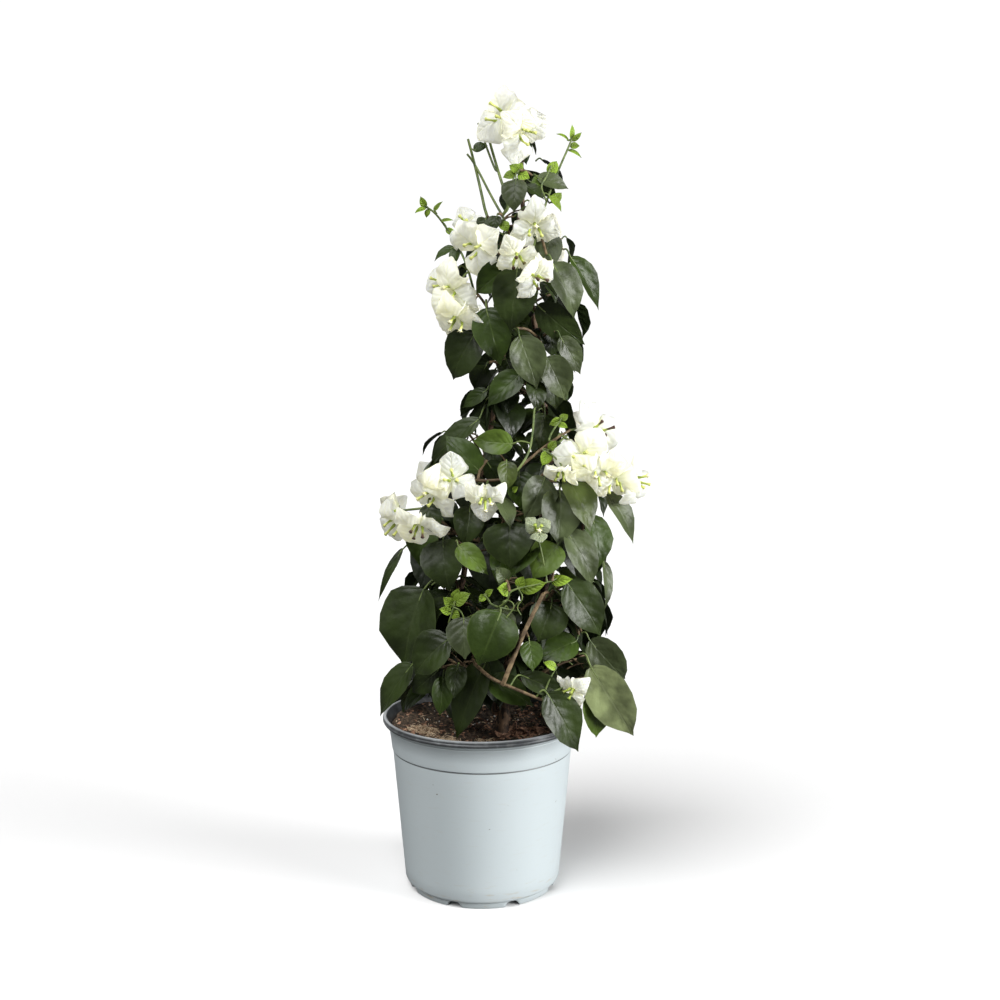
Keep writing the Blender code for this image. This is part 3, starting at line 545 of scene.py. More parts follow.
def blotched(tree, pattern, low, high, first, second):
    """The shared blotches in a material, in two colours of its own."""
    inputs = {"Pattern": pattern, "Low": low, "High": high}
    for name, color in (("First", first), ("Second", second)):
        inputs[name] = color if isinstance(color, bpy.types.NodeSocket) else (*color, 1.0)
    return add_node(tree, "ShaderNodeGroup", inputs, node_tree=surface_blotches).outputs["Color"]


peat, tree, shader = new_finish("peat", IOR=1.4)
crumbs = grain(tree, 420.0, 6.0)
damp = blotched(tree, crumbs, 0.35, 0.7, (0.018, 0.013, 0.008), (0.125, 0.086, 0.056))
join_up(tree, shader, damp, scaled(tree, crumbs, 0.3, 0.65), crumbs, 0.0016, 0.9)
soil = turned(soil_section, SOIL_TURNS, soil_shape)
soil_piece = soil.finished("peat_bed", (peat,), "soil", ("soil",))


def socket_ids(tree):
    """The identifiers of a node tree's inputs by their names."""
    return {item.name: item.identifier for item in tree.interface.items_tree
            if item.item_type == "SOCKET" and item.in_out == "INPUT"}


def strewing_tree():
    """Strews copies of one small thing over a surface, each turned and sized by chance."""
    sockets = {"Surface": "Geometry", "Thing": "Object", "Density": "Float", "Smallest": "Float",
               "Largest": "Float", "Tilt": "Float", "Seed": "Int", "Finish": "Material"}
    tree, given, leaving = new_tree("strewing", "GeometryNodeTree", sockets, {"Strewn": "Geometry"})
    points = add_node(tree, "GeometryNodeDistributePointsOnFaces",
                      {"Mesh": given["Surface"], "Density": given["Density"], "Seed": given["Seed"]})
    thing = add_node(tree, "GeometryNodeObjectInfo", {"Object": given["Thing"]})
    tilts = {"X": given["Tilt"], "Y": given["Tilt"], "Z": math.pi}
    tilt = add_node(tree, "ShaderNodeCombineXYZ", tilts)
    inputs = {0: tilt.outputs[0], "Scale": -1.0}
    back = add_node(tree, "ShaderNodeVectorMath", inputs, operation="SCALE")
    turn = add_node(tree, "FunctionNodeRandomValue", data_type="FLOAT_VECTOR")
    tree.links.new(back.outputs[0], turn.inputs[0])
    tree.links.new(tilt.outputs[0], turn.inputs[1])
    tree.links.new(given["Seed"], turn.inputs["Seed"])
    size = add_node(tree, "FunctionNodeRandomValue", {"Seed": given["Seed"]}, data_type="FLOAT")
    tree.links.new(given["Smallest"], size.inputs[2])
    tree.links.new(given["Largest"], size.inputs[3])
    strewn = add_node(tree, "GeometryNodeInstanceOnPoints",
                      {"Points": points.outputs["Points"], "Instance": thing.outputs["Geometry"],
                       "Rotation": turn.outputs[0], "Scale": size.outputs[1]})
    real = add_node(tree, "GeometryNodeRealizeInstances", {0: strewn.outputs[0]})
    done = add_node(tree, "GeometryNodeSetMaterial", {0: real.outputs[0], "Material": given["Finish"]})
    tree.links.new(done.outputs[0], leaving[0])
    return tree


def made_by_tree(name, host_mesh, tree, values):
    """Runs a Geometry Nodes tree on a mesh and keeps what comes out as a plain mesh."""
    host = bpy.data.objects.new(name + "_host", host_mesh)
    bpy.context.scene.collection.objects.link(host)
    growth = host.modifiers.new(name, "NODES")
    growth.node_group = tree
    for input_name, identifier in socket_ids(tree).items():
        if input_name in values:
            growth[identifier] = values[input_name]
    bpy.context.view_layer.update()
    graph = bpy.context.evaluated_depsgraph_get()
    mesh = bpy.data.meshes.new_from_object(host.evaluated_get(graph))
    host.modifiers.clear()
    bpy.data.objects.remove(host)
    return bpy.data.objects.new(name, mesh)


def crumb(points, faces):
    """A small closed thing of unit size, to be strewn."""
    mesh = bpy.data.meshes.new("crumb")
    mesh.from_pydata(points, [], faces)
    thing = bpy.data.objects.new("crumb", mesh)
    bpy.context.scene.collection.objects.link(thing)
    return thing


def splinter(length, width, thickness, bend):
    """A flat chip or fibre with two broken ends, bent along its length."""
    points = []
    for step in range(5):
        x = (step / 4 - 0.5) * length
        half = width / 2 * (0.35, 0.9, 1.0, 0.8, 0.25)[step]
        rise = -bend * (step / 2 - 1.0) ** 2
        points += [(x, -half, rise), (x, half, rise), (x, half * 0.7, rise - thickness),
                   (x, -half * 0.7, rise - thickness)]
    faces = [(0, 1, 2, 3), (19, 18, 17, 16)]
    for low in range(0, 16, 4):
        for one, other in ((0, 1), (1, 2), (2, 3), (3, 0)):
            faces.append((low + one, low + 4 + one, low + 4 + other, low + other))
    return crumb(points, faces)


things = {
    "bark_chips": splinter(1.0, 0.42, 0.12, 0.06),
    "coir_fibres": splinter(1.0, 0.07, 0.05, 0.16),
    "perlite": splinter(1.0, 0.9, 0.7, 0.1),
}
strewing = strewing_tree()
top_of_soil = bpy.data.meshes.new("soil_top")
kept = [p for p in soil_piece.data.polygons if p.center.z > SOIL_TOP - 0.006
        and p.normal.z > 0.3 and p.center.xy.length < soil_edge - 0.003]
top_of_soil.from_pydata([v.co for v in soil_piece.data.vertices], [], [tuple(p.vertices) for p in kept])
for name, (density, smallest, largest, tilt, seed) in LITTER.items():
    dark, light, roughness = LITTER_COLORS[name]
    finish, tree, shader = new_finish(name, IOR=1.45)
    patch = between(tree, grain(tree, 260.0, 2.0), 0.38, 0.62)
    join_up(tree, shader, mixed(tree, patch, dark, light), scaled(tree, patch, -0.15, roughness),
            grain(tree, 1500.0), 0.0004, 0.8)
    values = {"Thing": things[name], "Density": density, "Smallest": smallest, "Largest": largest,
              "Tilt": tilt, "Seed": seed, "Finish": finish}
    settled(made_by_tree(name, top_of_soil.copy(), strewing, values))
# Loose clumps that lie on top: (thing, place, reach, pieces to a square metre, longest)
CLUMPS = (
    ("coir_fibres", (-0.0515, -0.0180), 0.0135, 380000.0, 0.0090),
    ("coir_fibres", (-0.0290, -0.0440), 0.0080, 420000.0, 0.0080),
    ("coir_fibres", (0.0040, -0.0424), 0.0060, 260000.0, 0.0110),
    ("bark_chips", (0.0400, -0.0160), 0.0170, 60000.0, 0.0150),
    ("bark_chips", (0.0150, -0.0330), 0.0060, 90000.0, 0.0160),
)
CLUMP_LIFT = 0.0012
CLUMP_TILT = 0.8
CLUMP_SMALLEST = 0.4
for index, (name, (x, y), reach, density, largest) in enumerate(CLUMPS):
    patch = bpy.data.meshes.new("patch")
    near = [p for p in kept if math.hypot(p.center.x - x, p.center.y - y) < reach]
    lifted = [v.co + Vector((0.0, 0.0, CLUMP_LIFT)) for v in soil_piece.data.vertices]
    patch.from_pydata(lifted, [], [tuple(p.vertices) for p in near])
    values = {"Thing": things[name], "Density": density, "Smallest": largest * CLUMP_SMALLEST,
              "Largest": largest, "Tilt": CLUMP_TILT, "Seed": index, "Finish": bpy.data.materials[name]}
    settled(made_by_tree(f"clump_{index + 1}", patch, strewing, values))
for thing in things.values():
    bpy.data.objects.remove(thing)

# --------------------------------------------------------------------------- trunk and leading stems
# A short woody trunk leaves the soil and forks into three leading stems that wind up round one
# leaning line. Their brown bark is ridged lengthwise, with knots where side shoots were.

TRUNK_TIP = Vector((0.019, -0.023, 0.174))
TRUNK_RADIUS = 0.0052
TRUNK_TIP_RADIUS = 0.0042
TRUNK_FLARE = 0.0040
FLARE_HEIGHT = 0.006
TRUNK_SWAY = 0.0012
TRUNK_SINK = 0.004
TRUNK_STEPS = 18
TRUNK_SIDES = 20
TRUNK_END = 0.72
LINE_FOOT_X = 0.012
LINE_LEAN = 0.045
LEADER_SETTLE = 0.16
LEADER_SPREAD_FIRST = 0.42
LEADER_SPREAD_BY = 0.25
LEADER_CLOSING = 0.62
# name: (share of the trunk where it starts, top height, first azimuth, turn, widest radius, thickness)
LEADERS = {
    "leader_front": (1.0, 0.640, -62.0, 150.0, 0.052, 0.0034),
    "leader_left": (0.62, 0.590, 178.0, 95.0, 0.046, 0.0030),
    "leader_back": (0.36, 0.560, 62.0, 80.0, 0.044, 0.0030),
}
LEADER_TIP_SHARE = 0.55
LEADER_TIP_GAP = 0.0009
BARK_STEP = 0.0022
BARK_SIDES = 14
BARK_RIDGES = 0.11
KNOT_EVERY = 0.031
KNOT_SWELL = 0.16


def line_point(height):
    """The leaning line that the plant is trained round."""
    return Vector((LINE_FOOT_X + LINE_LEAN * (height - SOIL_TOP), 0.0, height))


def trunk_point(share):
    sway = math.sin(math.pi * share) * TRUNK_SWAY
    return TRUNK_FOOT.lerp(TRUNK_TIP, share) + Vector((sway, -sway, 0.0))


def trunk_radius(share):
    flare = TRUNK_FLARE * math.exp(-(TRUNK_TIP.z - TRUNK_FOOT.z) * share / FLARE_HEIGHT)
    return mix(TRUNK_RADIUS, TRUNK_TIP_RADIUS, share) + flare


def leader_radius(name, share):
    return LEADERS[name][5] * mix(1.0, LEADER_TIP_SHARE, share)


def leader_start(name):
    """Where a leader leaves the trunk: on from its tip, or from its side."""
    place, _, azimuth, _, _, thickness = LEADERS[name]
    if place == 1.0:
        onward = (trunk_point(1.0) - trunk_point(0.9)).normalized()
        return trunk_point(1.0) + onward * LEADER_TIP_GAP
    return trunk_point(place) + unit(azimuth) * (TRUNK_RADIUS + thickness)


def leader_point(name, share):
    """A point on a leader, which swings out from the trunk and winds up round the leaning line."""
    _, top, azimuth, turn, widest, _ = LEADERS[name]
    start = leader_start(name)
    height = mix(start.z, top, share)
    opened = mix(LEADER_SPREAD_FIRST, 1.0, smooth(share / LEADER_SPREAD_BY))
    spread = widest * opened * (1.0 - share) ** LEADER_CLOSING
    wound = line_point(height) + unit(azimuth + turn * share) * spread
    settled_place = start.lerp(wound, smooth(share / LEADER_SETTLE))
    settled_place.z = height
    return settled_place


def spoke(across, up, turn):
    """The way that points out at a turn, in radians, from across towards up."""
    return across * math.cos(turn) + up * math.sin(turn)


def add_tube(form, points, radii, sides, kind=0, relief=None):
    """A closed tube along the points. relief(turn, length) swells it, 0 leaving it round."""
    rings = []
    length = 0.0
    tangent = (points[1] - points[0]).normalized()
    across = tangent.orthogonal().normalized()
    made = [points[0]]
    lengths = [0.0]
    for index, place in enumerate(points):
        before, after = points[max(index - 1, 0)], points[min(index + 1, len(points) - 1)]
        onward = (after - before).normalized()
        across = tangent.rotation_difference(onward) @ across
        tangent = onward
        up = tangent.cross(across)
        length += (place - before).length
        lengths.append(length)
        for side in range(sides):
            turn = 2 * math.pi * side / sides
            swell = 1.0 + (relief(turn, length) if relief else 0.0)
            made.append(place + spoke(across, up, turn) * radii[index] * swell)
    made.append(points[-1])
    faces = []
    flats = []
    last = len(made) - 1
    for side in range(sides):
        following = (side + 1) % sides
        u, u_next = side / sides, (side + 1) / sides
        faces.append((0, 1 + following, 1 + side))
        flats.append([(u, 0.0)] * 3)
        for ring in range(len(points) - 1):
            low = 1 + ring * sides
            v, v_next = lengths[ring + 1], lengths[ring + 2]
            faces.append((low + side, low + following, low + sides + following, low + sides + side))
            flats.append([(u, v), (u_next, v), (u_next, v_next), (u, v_next)])
        top = 1 + (len(points) - 1) * sides
        faces.append((last, top + side, top + following))
        flats.append([(u, length)] * 3)
    form.add(made, faces, flats, [kind] * len(faces))


def bark_relief(seed):
    """Ridges along a limb, and evenly spaced knots, each on a new side."""
    def swell(turn, length):
        round_it = Vector((math.cos(turn) * 1.9, math.sin(turn) * 1.9, length * 70.0 + seed))
        ridges = noise.fractal(round_it, 0.8, 2.0, 3) * BARK_RIDGES
        knot = round(length / KNOT_EVERY)
        off = (length - knot * KNOT_EVERY) / 0.0032
        side = math.cos(turn - knot * 2.4 - seed)
        return ridges + KNOT_SWELL * math.exp(-off * off) * (0.4 + 0.6 * max(side, 0.0))
    return swell


def flat_map(tree):
    """The piece's own flat map, u round it or across it and v along it."""
    return add_node(tree, "ShaderNodeUVMap", uv_map="flat").outputs["UV"]


bark, tree, shader = new_finish("brown_bark", IOR=1.4)
lay = add_node(tree, "ShaderNodeMapping", {"Vector": flat_map(tree), "Scale": (9.0, 130.0, 1.0)})
inputs = {"Vector": lay.outputs["Vector"], "Scale": 1.0, "Detail": 5.0}
fissures = add_node(tree, "ShaderNodeTexNoise", inputs).outputs["Fac"]
patches = grain(tree, 75.0, 4.0)
young = blotched(tree, patches, 0.35, 0.65, (0.060, 0.034, 0.019), (0.165, 0.104, 0.060))
split = blotched(tree, fissures, 0.52, 0.40, young, (0.022, 0.013, 0.008))
join_up(tree, shader, split, scaled(tree, fissures, 0.3, 0.55), fissures, 0.0010, 0.9)

form = Form()
shares = [step / TRUNK_STEPS for step in range(TRUNK_STEPS + 1)]
points = [trunk_point(share) for share in shares]
points[0] = points[0] - Vector((0.0, 0.0, TRUNK_SINK))
radii = [trunk_radius(share) for share in shares]
radii[-1] *= TRUNK_END
add_tube(form, points, radii, TRUNK_SIDES, 0, bark_relief(3.0))
form.finished("trunk_bark", (bark,), "stem", ("trunk",))
for index, name in enumerate(LEADERS):
    start = leader_start(name)
    inside = trunk_point(min(LEADERS[name][0], 0.97))
    steps = int((LEADERS[name][1] - start.z) / BARK_STEP)
    shares = [(step / steps) ** 1.1 for step in range(1, steps + 1)]
    points = [inside, start] + [leader_point(name, share) for share in shares]
    radii = [leader_radius(name, 0.0)] * 2 + [leader_radius(name, share) for share in shares]
    form = Form()
    add_tube(form, points, radii, BARK_SIDES, 0, bark_relief(20.0 + 7.0 * index))
    form.finished(f"{name}_bark", (bark,), "stem", (name,))

# ---------------------------------------------------------------------------------- the growth rule
# Every side stem leaves a leading stem, and carries twigs, leaves and blooms. The rule and its seeds
# are the solids' own, so what grows here stands where its solid does. The section after this one
# takes some of it away again.

CROWN_OUTLINE = (
    (0.150, 0.108),
    (0.200, 0.114),
    (0.260, 0.110),
    (0.320, 0.108),
    (0.380, 0.092),
    (0.440, 0.064),
    (0.500, 0.072),
    (0.540, 0.072),
    (0.580, 0.056),
    (0.640, 0.040),
)
SUNNY_AZIMUTH = -15.0
SUNNY_SWELL = 0.10
# name: (lowest twig tip, highest twig tip, masses round the tier, first azimuth, leaf length, twigs)
TIERS = {
    "low": (0.184, 0.232, 4, -38.0, 0.062, 4),
    "skirt": (0.238, 0.290, 5, -54.0, 0.062, 3),
    "middle": (0.296, 0.350, 5, -90.0, 0.058, 3),
    "shoulder": (0.356, 0.410, 4, -45.0, 0.054, 3),
    "waist": (0.416, 0.466, 3, -90.0, 0.048, 3),
    "neck": (0.472, 0.530, 3, -30.0, 0.050, 3),
    "head": (0.536, 0.590, 3, -90.0, 0.042, 3),
}
TOP_NAME = "foliage_top"
TOP_HEIGHT = 0.668
TOP_LEAF = 0.030
TOP_TWIGS = 4
TOP_GAP = 0.0006
TOP_TWIG_HEIGHTS = (0.622, 0.650)
TOP_SECTOR = 20.0
TOP_BLOOMS_FROM = 0.60
# Young shoots that stand out of the crown: (start height, azimuth, tip height, tip reach, leaves)
SHOOTS = {
    "shoot_right": (0.596, -20.0, 0.664, 0.036, 7),
    "shoot_left": (0.535, 188.0, 0.604, 0.086, 8),
    "shoot_upper": (0.606, 184.0, 0.668, 0.050, 4),
}
SHOOT_LEAF = 0.017
SHOOT_RADII = (0.0016, 0.0012)
SHOOT_STEPS = 5
SHOOT_LEAFY_SHARE = 0.42
SHOOT_LEAF_WANDER = 20.0
SHOOT_LEAF_FIRST = (-55.0, -15.0)
SHOOT_LEAF_LAST = (-10.0, 30.0)
SHOOT_LEAF_SIZES = (0.7, 1.2)
# Blooms: (azimuth, height, reach from the line, turn of the face off the radial, pitch of the face)
BLOOMS = (
    (-148.0, 0.671, 0.030, -20.0, 10.0),
    (-84.0, 0.655, 0.028, 45.0, -5.0),
    (-80.0, 0.581, 0.045, 0.0, -5.0),
    (-128.0, 0.562, 0.066, 10.0, -15.0),
    (-99.0, 0.553, 0.056, 10.0, -30.0),
    (-142.0, 0.524, 0.078, 20.0, -25.0),
    (-136.0, 0.499, 0.070, 15.0, -50.0),
    (-46.0, 0.389, 0.088, -10.0, -10.0),
    (-24.0, 0.409, 0.090, 0.0, 20.0),
    (-32.0, 0.370, 0.102, -20.0, -35.0),
    (-15.0, 0.362, 0.106, 10.0, -25.0),
    (-127.0, 0.366, 0.098, 0.0, -15.0),
    (-106.0, 0.352, 0.094, 5.0, -35.0),
    (-151.0, 0.334, 0.108, 5.0, -35.0),
    (-46.0, 0.200, 0.096, 30.0, -25.0),
    (65.0, 0.571, 0.056, 0.0, 0.0),
    (110.0, 0.500, 0.078, 10.0, -20.0),
    (42.0, 0.405, 0.092, 0.0, -10.0),
    (60.0, 0.372, 0.106, 15.0, -25.0),
    (128.0, 0.352, 0.104, -10.0, -15.0),
    (152.0, 0.330, 0.108, 10.0, -30.0),
    (98.0, 0.262, 0.116, 0.0, -20.0),
)
BRACTS = 3
BRACT_LENGTH = 0.028
BRACT_THICKNESS = 0.0012
BRACT_OUTLINE = ((-60.0, 42.0, 0.38), (-34.0, 60.0, 0.84), (0.0, 76.0, 1.0), (34.0, 60.0, 0.84))
FLOWER_TUBES = 3
TUBE_LENGTH = 0.017
TUBE_RADIUS = 0.0011
TUBE_PITCH = 0.0030
TUBE_SPLAY = 13.0
STALK_PLACE = 0.9
STALK_BACK = 0.004
STALK_ARCH = 0.12
STALK_SINK = 0.0004
BLOOM_SLACK = (0.004, 0.002)
STEM_RADII = (0.0025, 0.0019)
STEM_STEPS = 4
TWIG_RADII = (0.0013, 0.0011)
TWIG_STEPS = 3
PETIOLE_RADIUS = 0.00055
LEAF_SINK = 0.0012
STEM_REACH = 0.52
STEM_GAP = 0.0004
STEM_COLLAR = 0.003
STEM_BEND = 0.4
STEM_RISE_TO = 0.018
STEM_DROPS = (0.0, 0.010, 0.020, 0.030, 0.040, -0.010)
SHORTEST_STEM = 0.016
BARE_FOOT = 0.012
BARE_TIP = 0.004
GOLDEN_TURN = 137.5
LEAF_OVERHANG = 0.42
SHARPEST_BEND = 62.0
TWIG_ARCH = 0.28
LEAF_PLACES = (0.30, 0.78)
LEAF_SWINGS = (-48.0, 48.0)
LEAF_WIDTH_SHARE = 0.66
LEAF_KEEL_SHARE = 0.024
PETIOLE_SHARE = 0.20
PETIOLE_LIFT = 0.25
LEAF_STATIONS = ((0.02, 0.08), (0.32, 1.0), (0.68, 0.68))
FIRST_DROOP = (26.0, 66.0)
ADDED_DROOP = (14.0, 44.0)
LEAF_WANDER = (14.0, 4.0)
LEAF_ROLL = 16.0
LEAF_SIZES = (0.80, 1.12)
LEAF_SHRINK = 0.022
SPRAY_SPREAD = 0.86
SPRAY_WANDER = 0.16
TIP_REACHES = (0.78, 1.0)
TWIG_PLACES = (0.45, 0.98)
TRIES = 14
CLEARANCE = 0.0008
SEED = 29
ROOM = 6000


def bezier(start, middle, end, steps):
    """Points along a quadratic curve, both ends included."""
    shares = [step / (steps - 1) for step in range(steps)]
    return [start * (1 - t) ** 2 + middle * 2 * t * (1 - t) + end * t * t for t in shares]


def crown_radius(height, azimuth):
    """Radius of the crown's outline about the leaning line, fuller on its sunny side."""
    heights = [row[0] for row in CROWN_OUTLINE]
    height = min(max(height, heights[0]), heights[-1])
    above = next(i for i, level in enumerate(heights) if level >= height)
    low, high = CROWN_OUTLINE[max(above - 1, 0)], CROWN_OUTLINE[max(above, 1)]
    radius = mix(low[1], high[1], smooth((height - low[0]) / (high[0] - low[0])))
    return radius * (1.0 + SUNNY_SWELL * math.cos(math.radians(azimuth - SUNNY_AZIMUTH)))


def crown_point(height, azimuth, reach):
    return line_point(height) + unit(azimuth) * reach


def arched(one, other, share):
    """The point halfway between two, lifted by a share of the way between them."""
    return one.lerp(other, 0.5) + Vector((0.0, 0.0, share * (other - one).length))


def searched(points, faces):
    """A closed form as a search tree, with the two corners of its box."""
    places = np.array(points)
    return BVHTree.FromPolygons(points, faces), places.min(0), places.max(0)


def spindle(rings, start, end):
    """A plain stand-in for a twig, leaf or bract: rings of points closed at both ends."""
    sides = len(rings[0])
    points = [start] + [corner for ring in rings for corner in ring] + [end]
    faces = []
    for side in range(sides):
        following = (side + 1) % sides
        top = 1 + (len(rings) - 1) * sides
        faces += [(0, 1 + side, 1 + following), (top + side, len(points) - 1, top + following)]
        for low in range(1, top, sides):
            faces.append((low + side, low + sides + side, low + sides + following, low + following))
    return searched(points, faces)


def rod(points, radii):
    """The stand-in for a stem or twig, three-sided."""
    rings = []
    for index, place in enumerate(points):
        before, after = points[max(index - 1, 0)], points[min(index + 1, len(points) - 1)]
        onward = (after - before).normalized()
        across = onward.cross(Vector((0.0, 0.0, 1.0)))
        if across.length < 0.1:
            across = onward.cross(Vector((0.0, 1.0, 0.0)))
        across.normalize()
        up = onward.cross(across)
        turns = [math.radians(-120.0 * corner) for corner in range(3)]
        rings.append([place + spoke(across, up, turn) * radii[index] for turn in turns])
    return spindle(rings, points[0], points[-1])


def blade_spine(leaf, share):
    """Place and direction of the midrib at a share of the blade's length."""
    first, last = leaf["first"], leaf["last"]
    place = leaf["base"] + (first * share + (last - first) * share * share / 2) * leaf["length"]
    return place, first.lerp(last, share).normalized()


def blade(leaf, extra=0.0):
    """The stand-in for a leaf: a thin petiole, then a blade with a keel, fatter by extra."""
    onward = (leaf["base"] - leaf["root"]).normalized()
    side = onward.cross(leaf["normal"]).normalized()
    over = side.cross(onward)
    thin = PETIOLE_RADIUS + extra
    rings = [[leaf["root"] + side * thin + over * thin * 0.6,
              leaf["root"] - side * thin + over * thin * 0.6,
              leaf["root"] - over * thin]]
    for share, width in LEAF_STATIONS:
        center, onward = blade_spine(leaf, share)
        side = onward.cross(leaf["normal"]).normalized()
        over = side.cross(onward).normalized()
        half = leaf["width"] * width / 2 + extra
        keel = leaf["length"] * LEAF_KEEL_SHARE + extra
        rings.append([center + side * half + over * extra,
                      center - side * half + over * extra,
                      center - over * keel])
    tip, onward = blade_spine(leaf, 1.0)
    return spindle(rings, leaf["root"], tip + onward * extra)


def new_leaf(root, swing_from, swing, droops, roll, length):
    """A drooping leaf at a twig's point. swing turns it off the outward azimuth."""
    heading = unit(swing_from + swing)
    up = Vector((0.0, 0.0, 1.0))
    first = heading * math.cos(math.radians(droops[0])) - up * math.sin(math.radians(droops[0]))
    last = heading * math.cos(math.radians(droops[1])) - up * math.sin(math.radians(droops[1]))
    normal = heading * math.sin(math.radians(droops[0])) + up * math.cos(math.radians(droops[0]))
    normal = Matrix.Rotation(math.radians(roll), 3, first) @ normal
    petiole = (heading + up * PETIOLE_LIFT).normalized() * length * PETIOLE_SHARE
    return {"root": root, "base": root + petiole, "first": first, "last": last, "normal": normal,
            "length": length, "width": length * LEAF_WIDTH_SHARE}


def bloom_axes(azimuth, pitch):
    """The direction that a bloom faces, and the two across it."""
    face = unit(azimuth, pitch)
    across = face.cross(Vector((0.0, 0.0, 1.0))).normalized()
    return face, across, across.cross(face)


def tube_ways(face, across, up, angle):
    """The way from a bloom's middle to a flower tube's foot, and the way that the tube points."""
    out = spoke(across, up, angle)
    return out, (face + out * math.tan(math.radians(TUBE_SPLAY))).normalized()


def bloom_shapes(center, azimuth, pitch, spin, extra):
    """The stand-ins for a bloom's bracts and its three tubes."""
    face, across, up = bloom_axes(azimuth, pitch)
    outline = []
    for index in range(BRACTS):
        for turn, opening, reach in BRACT_OUTLINE:
            angle = math.radians(spin + index * 360.0 / BRACTS + turn)
            edge = spoke(face, spoke(across, up, angle), math.radians(opening))
            outline.append(center + edge * (BRACT_LENGTH * reach + extra))
    outline.reverse()
    thick = BRACT_THICKNESS + extra
    shapes = [spindle([outline], center + face * thick, center - face * thick)]
    for index in range(FLOWER_TUBES):
        angle = math.radians(spin + index * 360.0 / FLOWER_TUBES)
        out, onward = tube_ways(face, across, up, angle)
        start = center + out * TUBE_PITCH + face * BRACT_THICKNESS / 2
        turns = [angle + math.radians(120.0 * corner) for corner in range(3)]
        ring = [start + spoke(across, up, turn) * (TUBE_RADIUS + extra) for turn in turns]
        shapes.append(spindle([ring], start - onward * 0.0002, start + onward * TUBE_LENGTH))
    return shapes


class Crown:
    """All that has grown so far as stand-ins, and the fixed solids that it grows round."""

    def __init__(self, names):
        self.masses = []
        self.count = 0
        self.trees = []
        self.lows = np.empty((ROOM, 3))
        self.highs = np.empty((ROOM, 3))
        self.fixed = {}
        for name in names:
            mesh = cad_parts[name].data
            faces = [tuple(polygon.vertices) for polygon in mesh.polygons]
            points = [vertex.co.copy() for vertex in mesh.vertices]
            self.fixed[name] = self.keep(searched(points, faces))

    def keep(self, shape):
        """Keeps a stand-in and returns its number."""
        tree, self.lows[self.count], self.highs[self.count] = shape
        self.trees.append(tree)
        self.count += 1
        return self.count - 1

    def let_go(self, number):
        """Forgets a stand-in, so that nothing is tested against it any more."""
        self.lows[number] = math.inf
        self.highs[number] = -math.inf

    def is_clear(self, shape, spared=()):
        """True where the shape touches nothing but the spared numbers."""
        tree, low, high = shape
        near = (self.lows[:self.count] <= high).all(1) & (self.highs[:self.count] >= low).all(1)
        return not any(index not in spared and tree.overlap(self.trees[index])
                       for index in np.flatnonzero(near))


class Mass:
    """One leafy mass: its stem, its twigs, its leaves and its blooms."""

    def __init__(self, name, azimuth, seed, crown):
        self.name = name
        self.azimuth = azimuth
        self.chance = random.Random(seed)
        self.crown = crown
        self.stem = []
        self.rods = []
        self.rod_numbers = []
        self.blade_numbers = []
        self.twigs = []
        self.leaves = []
        self.blooms = []
        crown.masses.append(self)

    def add_rod(self, points, radii, kind, from_limb=False):
        """Adds a stem or twig unless it would touch a limb, the pot, a leaf or another mass."""
        made = rod(points, radii)
        fat_radii = [radius + CLEARANCE for radius in radii]
        if from_limb:
            fat_radii[0] = radii[0] / 2
        if not self.crown.is_clear(rod(points, fat_radii), self.rod_numbers):
            return False
        if from_limb and not self.crown.is_clear(made, self.rod_numbers + self.blade_numbers):
            return False
        self.rods.append((points, radii, kind))
        self.rod_numbers.append(self.crown.keep(made))
        return True

    def add_blade(self, leaf, spared, kind):
        """Adds a leaf unless it would touch anything but the spared twigs."""
        if not self.crown.is_clear(blade(leaf, CLEARANCE), spared):
            return False
        self.keep_leaf(leaf, kind)
        return True

    def keep_leaf(self, leaf, kind):
        """Keeps a leaf and its stand-in."""
        leaf["number"] = self.crown.keep(blade(leaf))
        self.blade_numbers.append(leaf["number"])
        self.leaves.append((leaf, kind))

    def drop_leaf(self, row):
        """Lets a leaf and its stand-in go again."""
        self.leaves.remove(row)
        self.crown.let_go(row[0]["number"])

    def add_bloom(self, center, azimuth, pitch):
        first = self.chance.uniform(0.0, 120.0)
        for turn in range(0, 120, 15):
            fat = bloom_shapes(center, azimuth, pitch, first + turn, CLEARANCE)
            if all(self.crown.is_clear(shape, self.rod_numbers) for shape in fat):
                made = bloom_shapes(center, azimuth, pitch, first + turn, 0.0)
                numbers = [self.crown.keep(shape) for shape in made]
                self.blade_numbers += numbers
                self.blooms.append((center, azimuth, pitch, first + turn, 1.0, "white", numbers))
                return


def along(points, share):
    """The point at a share of the way along a run of points, counted in steps."""
    spot = share * (len(points) - 1)
    index = min(int(spot), len(points) - 2)
    return points[index].lerp(points[index + 1], spot - index)


def tapered(radii, steps):
    return [mix(*radii, step / (steps - 1)) for step in range(steps)]


def leader_side(name, height, toward):
    """A start for a stem on a leader's side, facing a point, and the direction it leaves in."""
    foot = leader_start(name).z
    share = (height - foot) / (LEADERS[name][1] - foot)
    middle = leader_point(name, share)
    run = (leader_point(name, share) - leader_point(name, share - 0.02)).normalized()
    away = toward - middle
    away = (away - run * away.dot(run)).normalized()
    return middle + away * (leader_radius(name, share) + STEM_GAP), away


def stem_from(start, away, target, steps):
    """A stem that leaves its limb square to the limb's side and then bends to its target."""
    squared = start + away * STEM_COLLAR
    middle = squared + away * (target - squared).length * STEM_BEND
    return [start] + bezier(squared, middle, target, steps - 1)


